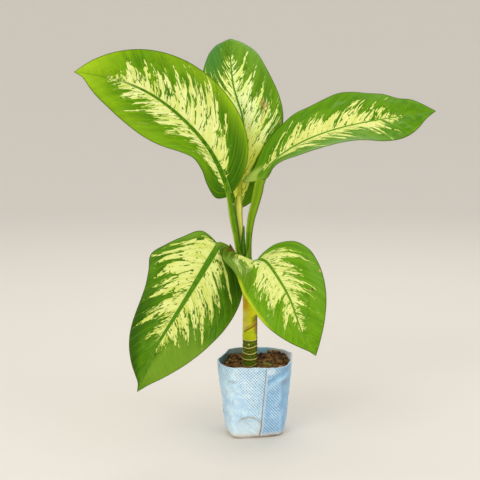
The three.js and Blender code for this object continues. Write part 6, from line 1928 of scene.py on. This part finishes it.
def sprout_mesh():
    x0, y0 = 15.5, -8.0
    z0 = float(soil_height(np.array(x0), np.array(y0)))
    verts, quads, tris, tv = [], [], [], []
    base = 0
    rr = np.random.default_rng(5)

    def add_piece(v, q, t, a):
        nonlocal base
        verts.append(v)
        quads.append(np.asarray(q).reshape(-1, 4) + base)
        tris.append(np.asarray(t).reshape(-1, 3) + base)
        tv.append(a)
        base += len(v)

    def leaflet(p, d, ln, wd, tilt):
        d = np.array(d, float) / np.linalg.norm(d)
        side = np.cross(d, [0, 0, 1.0])
        side /= np.linalg.norm(side) + 1e-9
        up = np.cross(side, d)
        n, c = 9, 5
        u = np.linspace(0, 1, n)
        prof = np.sin(np.pi * np.clip(u, 0.02, 0.98)) ** 0.7
        rows_t, rows_b = [], []
        for k in range(n):
            o = p + d * ln * u[k] + up * (tilt * u[k] * (1 - u[k]) * 2 - 0.5 * u[k] ** 2)
            rt, rb = [], []
            for j in range(c):
                s = (j - 2) / 2
                w = o + side * s * wd * prof[k] + up * 0.25 * abs(s) * prof[k]
                rt.append(w + up * 0.13)
                rb.append(w - up * 0.13)
            rows_t.append(rt)
            rows_b.append(rb[::-1])
        ring = np.concatenate([np.array(rows_t), np.array(rows_b)], axis=1)
        v = ring.reshape(-1, 3)
        q = grid_faces(n, 2 * c, wrap=True)
        v = np.vstack([v, ring[0].mean(0), ring[-1].mean(0)])
        t = []
        m_ = 2 * c
        for k in range(m_):
            k2 = (k + 1) % m_
            t.append((n * m_, k2, k))
            t.append((n * m_ + 1, (n - 1) * m_ + k, (n - 1) * m_ + k2))
        q, t = outward(v, q, np.array(t))
        add_piece(v, q, t, np.concatenate([np.repeat(u, m_), [0, 1]]))

    for k in range(9):
        an = k * 2.4 + 0.3
        hgt = 1.6 + 3.6 * rr.random() ** 1.5
        lean = np.array([math.cos(an), 0.7 * math.sin(an), 0]) * (0.5 + 1.6 * rr.random())
        spread = 0.6 + 0.42 * k
        root = np.array([x0 + math.cos(an) * spread, y0 + math.sin(an) * spread * 0.6, z0 - 1.2])
        P = [root, root + lean * 0.3 + [0, 0, hgt * 0.5 + 0.5], root + lean + [0, 0, hgt + 1.0]]
        C, t, _ = arc_resample(P, 12)
        v, q, tr, tt, aa = tube(C, 0.34 - 0.10 * t, np.tile([[1.0, 0.3, 0]], (12, 1)), sides=8)
        add_piece(v, q, tr, tt * 0.3)
        for j in range(3):
            b = an + j * 2.1 + rr.random()
            leaflet(C[-1] - np.array([0, 0, 0.3 * j]), (math.cos(b), math.sin(b), 0.35 + 0.3 * rr.random()), 1.7 + 1.1 * rr.random(), 0.6 + 0.25 * rr.random(), 0.8)
    V, Q, T = np.vstack(verts), np.vstack(quads), np.vstack(tris)
    m = Mat("mat_weed")
    x = m.objco()
    n1 = m.noise(x, 500.0, 3.0, 0.6)
    col = m.mix(m.step(n1, 0.38, 0.62), lin(104, 116, 14), lin(168, 170, 50))
    m.set(Base_Color=col, Roughness=m.madd(n1, 0.2, 0.5), Normal=m.bump(n1, 0.3, 0.0003))
    mn, mx = V.min(0), V.max(0)
    uv = (V[:, [0, 2]] - mn[[0, 2]]) / (mx - mn)[[0, 2]]
    return make_mesh("weed_sprout_leaves", V, Q, T, uv=uv, material=m.m)


# --------------------------------------------------------------------------
# build everything
# --------------------------------------------------------------------------
def take(ob, node):
    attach(ob, "root")
    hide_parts(node)
    return ob


for key in ("upperLeft", "topBack", "right", "lowerLeft", "lowerRight"):
    node = SPEC[key]["node"]
    blade_ob, fr = blade_mesh(key, leaf_material(key))
    take(blade_ob, node)
    smat = stalk_material(key)
    stalk_ob, C, R = stalk_mesh(key, fr, smat)
    take(stalk_ob, node)
    take(sheath_mesh(key, C, R, smat), node)

take(cane_mesh(cane_material()), "cane")
take(spear_mesh(), "spear_leaf")
take(dry_sheath_mesh(), "dry_sheath")
take(bag_mesh(bag_material()), "grow_bag")
take(seam_mesh(), "bag_seam")
take(soil_mesh(soil_material()), "soil")
take(soil_clods(soil_material(True)), "soil")
take(roots_mesh(), "roots")
take(sprout_mesh(), "weed_sprout")


# --------------------------------------------------------------------------
# floor, light, camera
# --------------------------------------------------------------------------
def floor_piece():
    """A pale floor that sweeps up, far behind the part, all the way round."""
    n = 128
    prof = [(0.25, 0.0), (0.6, 0.0), (1.1, 0.0), (1.8, 0.0), (2.5, 0.0)]
    prof += [(2.5 + 2.3 * math.sin(t), 2.3 - 2.3 * math.cos(t)) for t in [math.radians(4.0 * k) for k in range(1, 23)]]
    v = [(0.0, 0.0, 0.0)]
    for r, z in prof:
        for k in range(n):
            a = 2 * math.pi * k / n
            v.append((r * math.cos(a), r * math.sin(a), z))
    f = [(0, 1 + k, 1 + (k + 1) % n) for k in range(n)]
    for i in range(len(prof) - 1):
        for k in range(n):
            a, b = 1 + i * n + k, 1 + i * n + (k + 1) % n
            f.append((a, a + n, b + n, b))
    me = bpy.data.meshes.new("studio_floor")
    me.from_pydata(v, [], f)
    me.update()
    me.polygons.foreach_set("use_smooth", [True] * len(me.polygons))
    ob = bpy.data.objects.new("studio_floor", me)
    bpy.context.scene.collection.objects.link(ob)
    ob.location = (0, 0, -0.0004)
    m = Mat("mat_floor")
    x = m.objco()
    n2 = m.noise(x, 260.0, 3.0, 0.6)
    m.set(Base_Color=lin(226, 220, 211), Roughness=m.madd(n2, 0.08, 0.70), Normal=m.bump(n2, 0.05, 0.0004))
    m.set(Specular_IOR_Level=0.1)
    me.materials.append(m.m)
    return ob


floor_piece()

scene = bpy.context.scene
world = bpy.data.worlds.new("studio")
scene.world = world
world.use_nodes = True
bg = world.node_tree.nodes["Background"]
bg.inputs["Color"].default_value = (0.93, 0.93, 0.925, 1)
bg.inputs["Strength"].default_value = 0.84


def area(name, loc, aim, size, energy, color=(1, 1, 1)):
    li = bpy.data.lights.new(name, "AREA")
    li.shape = "SQUARE"
    li.size = size
    li.energy = energy
    li.color = color
    ob = bpy.data.objects.new(name, li)
    scene.collection.objects.link(ob)
    ob.location = loc
    d = Vector(aim) - Vector(loc)
    ob.rotation_euler = d.to_track_quat("-Z", "Y").to_euler()
    return ob


area("key", (-1.15, -2.1, 1.75), (-0.02, 0, 0.25), 1.5, 28, (1.0, 0.99, 0.97))
area("fill", (1.7, -1.7, 0.9), (0, 0, 0.22), 1.5, 12, (0.97, 0.985, 1.0))
area("top", (0.2, 0.9, 2.0), (0, 0, 0.3), 1.4, 10, (1.0, 0.99, 0.97))

cam_data = bpy.data.cameras.new("camera")
cam = bpy.data.objects.new("camera", cam_data)
scene.collection.objects.link(cam)
cam.location = (-0.019, -1.40, 0.45)
cam.rotation_euler = (math.radians(82.0), 0.0, 0.0)
cam_data.sensor_width = 36.0
cam_data.lens = 82.65
cam_data.clip_start = 0.02
cam_data.clip_end = 100.0
scene.camera = cam

scene.view_settings.view_transform = "Standard"
scene.view_settings.look = "None"
scene.view_settings.exposure = 0.0
scene.view_settings.gamma = 1.0
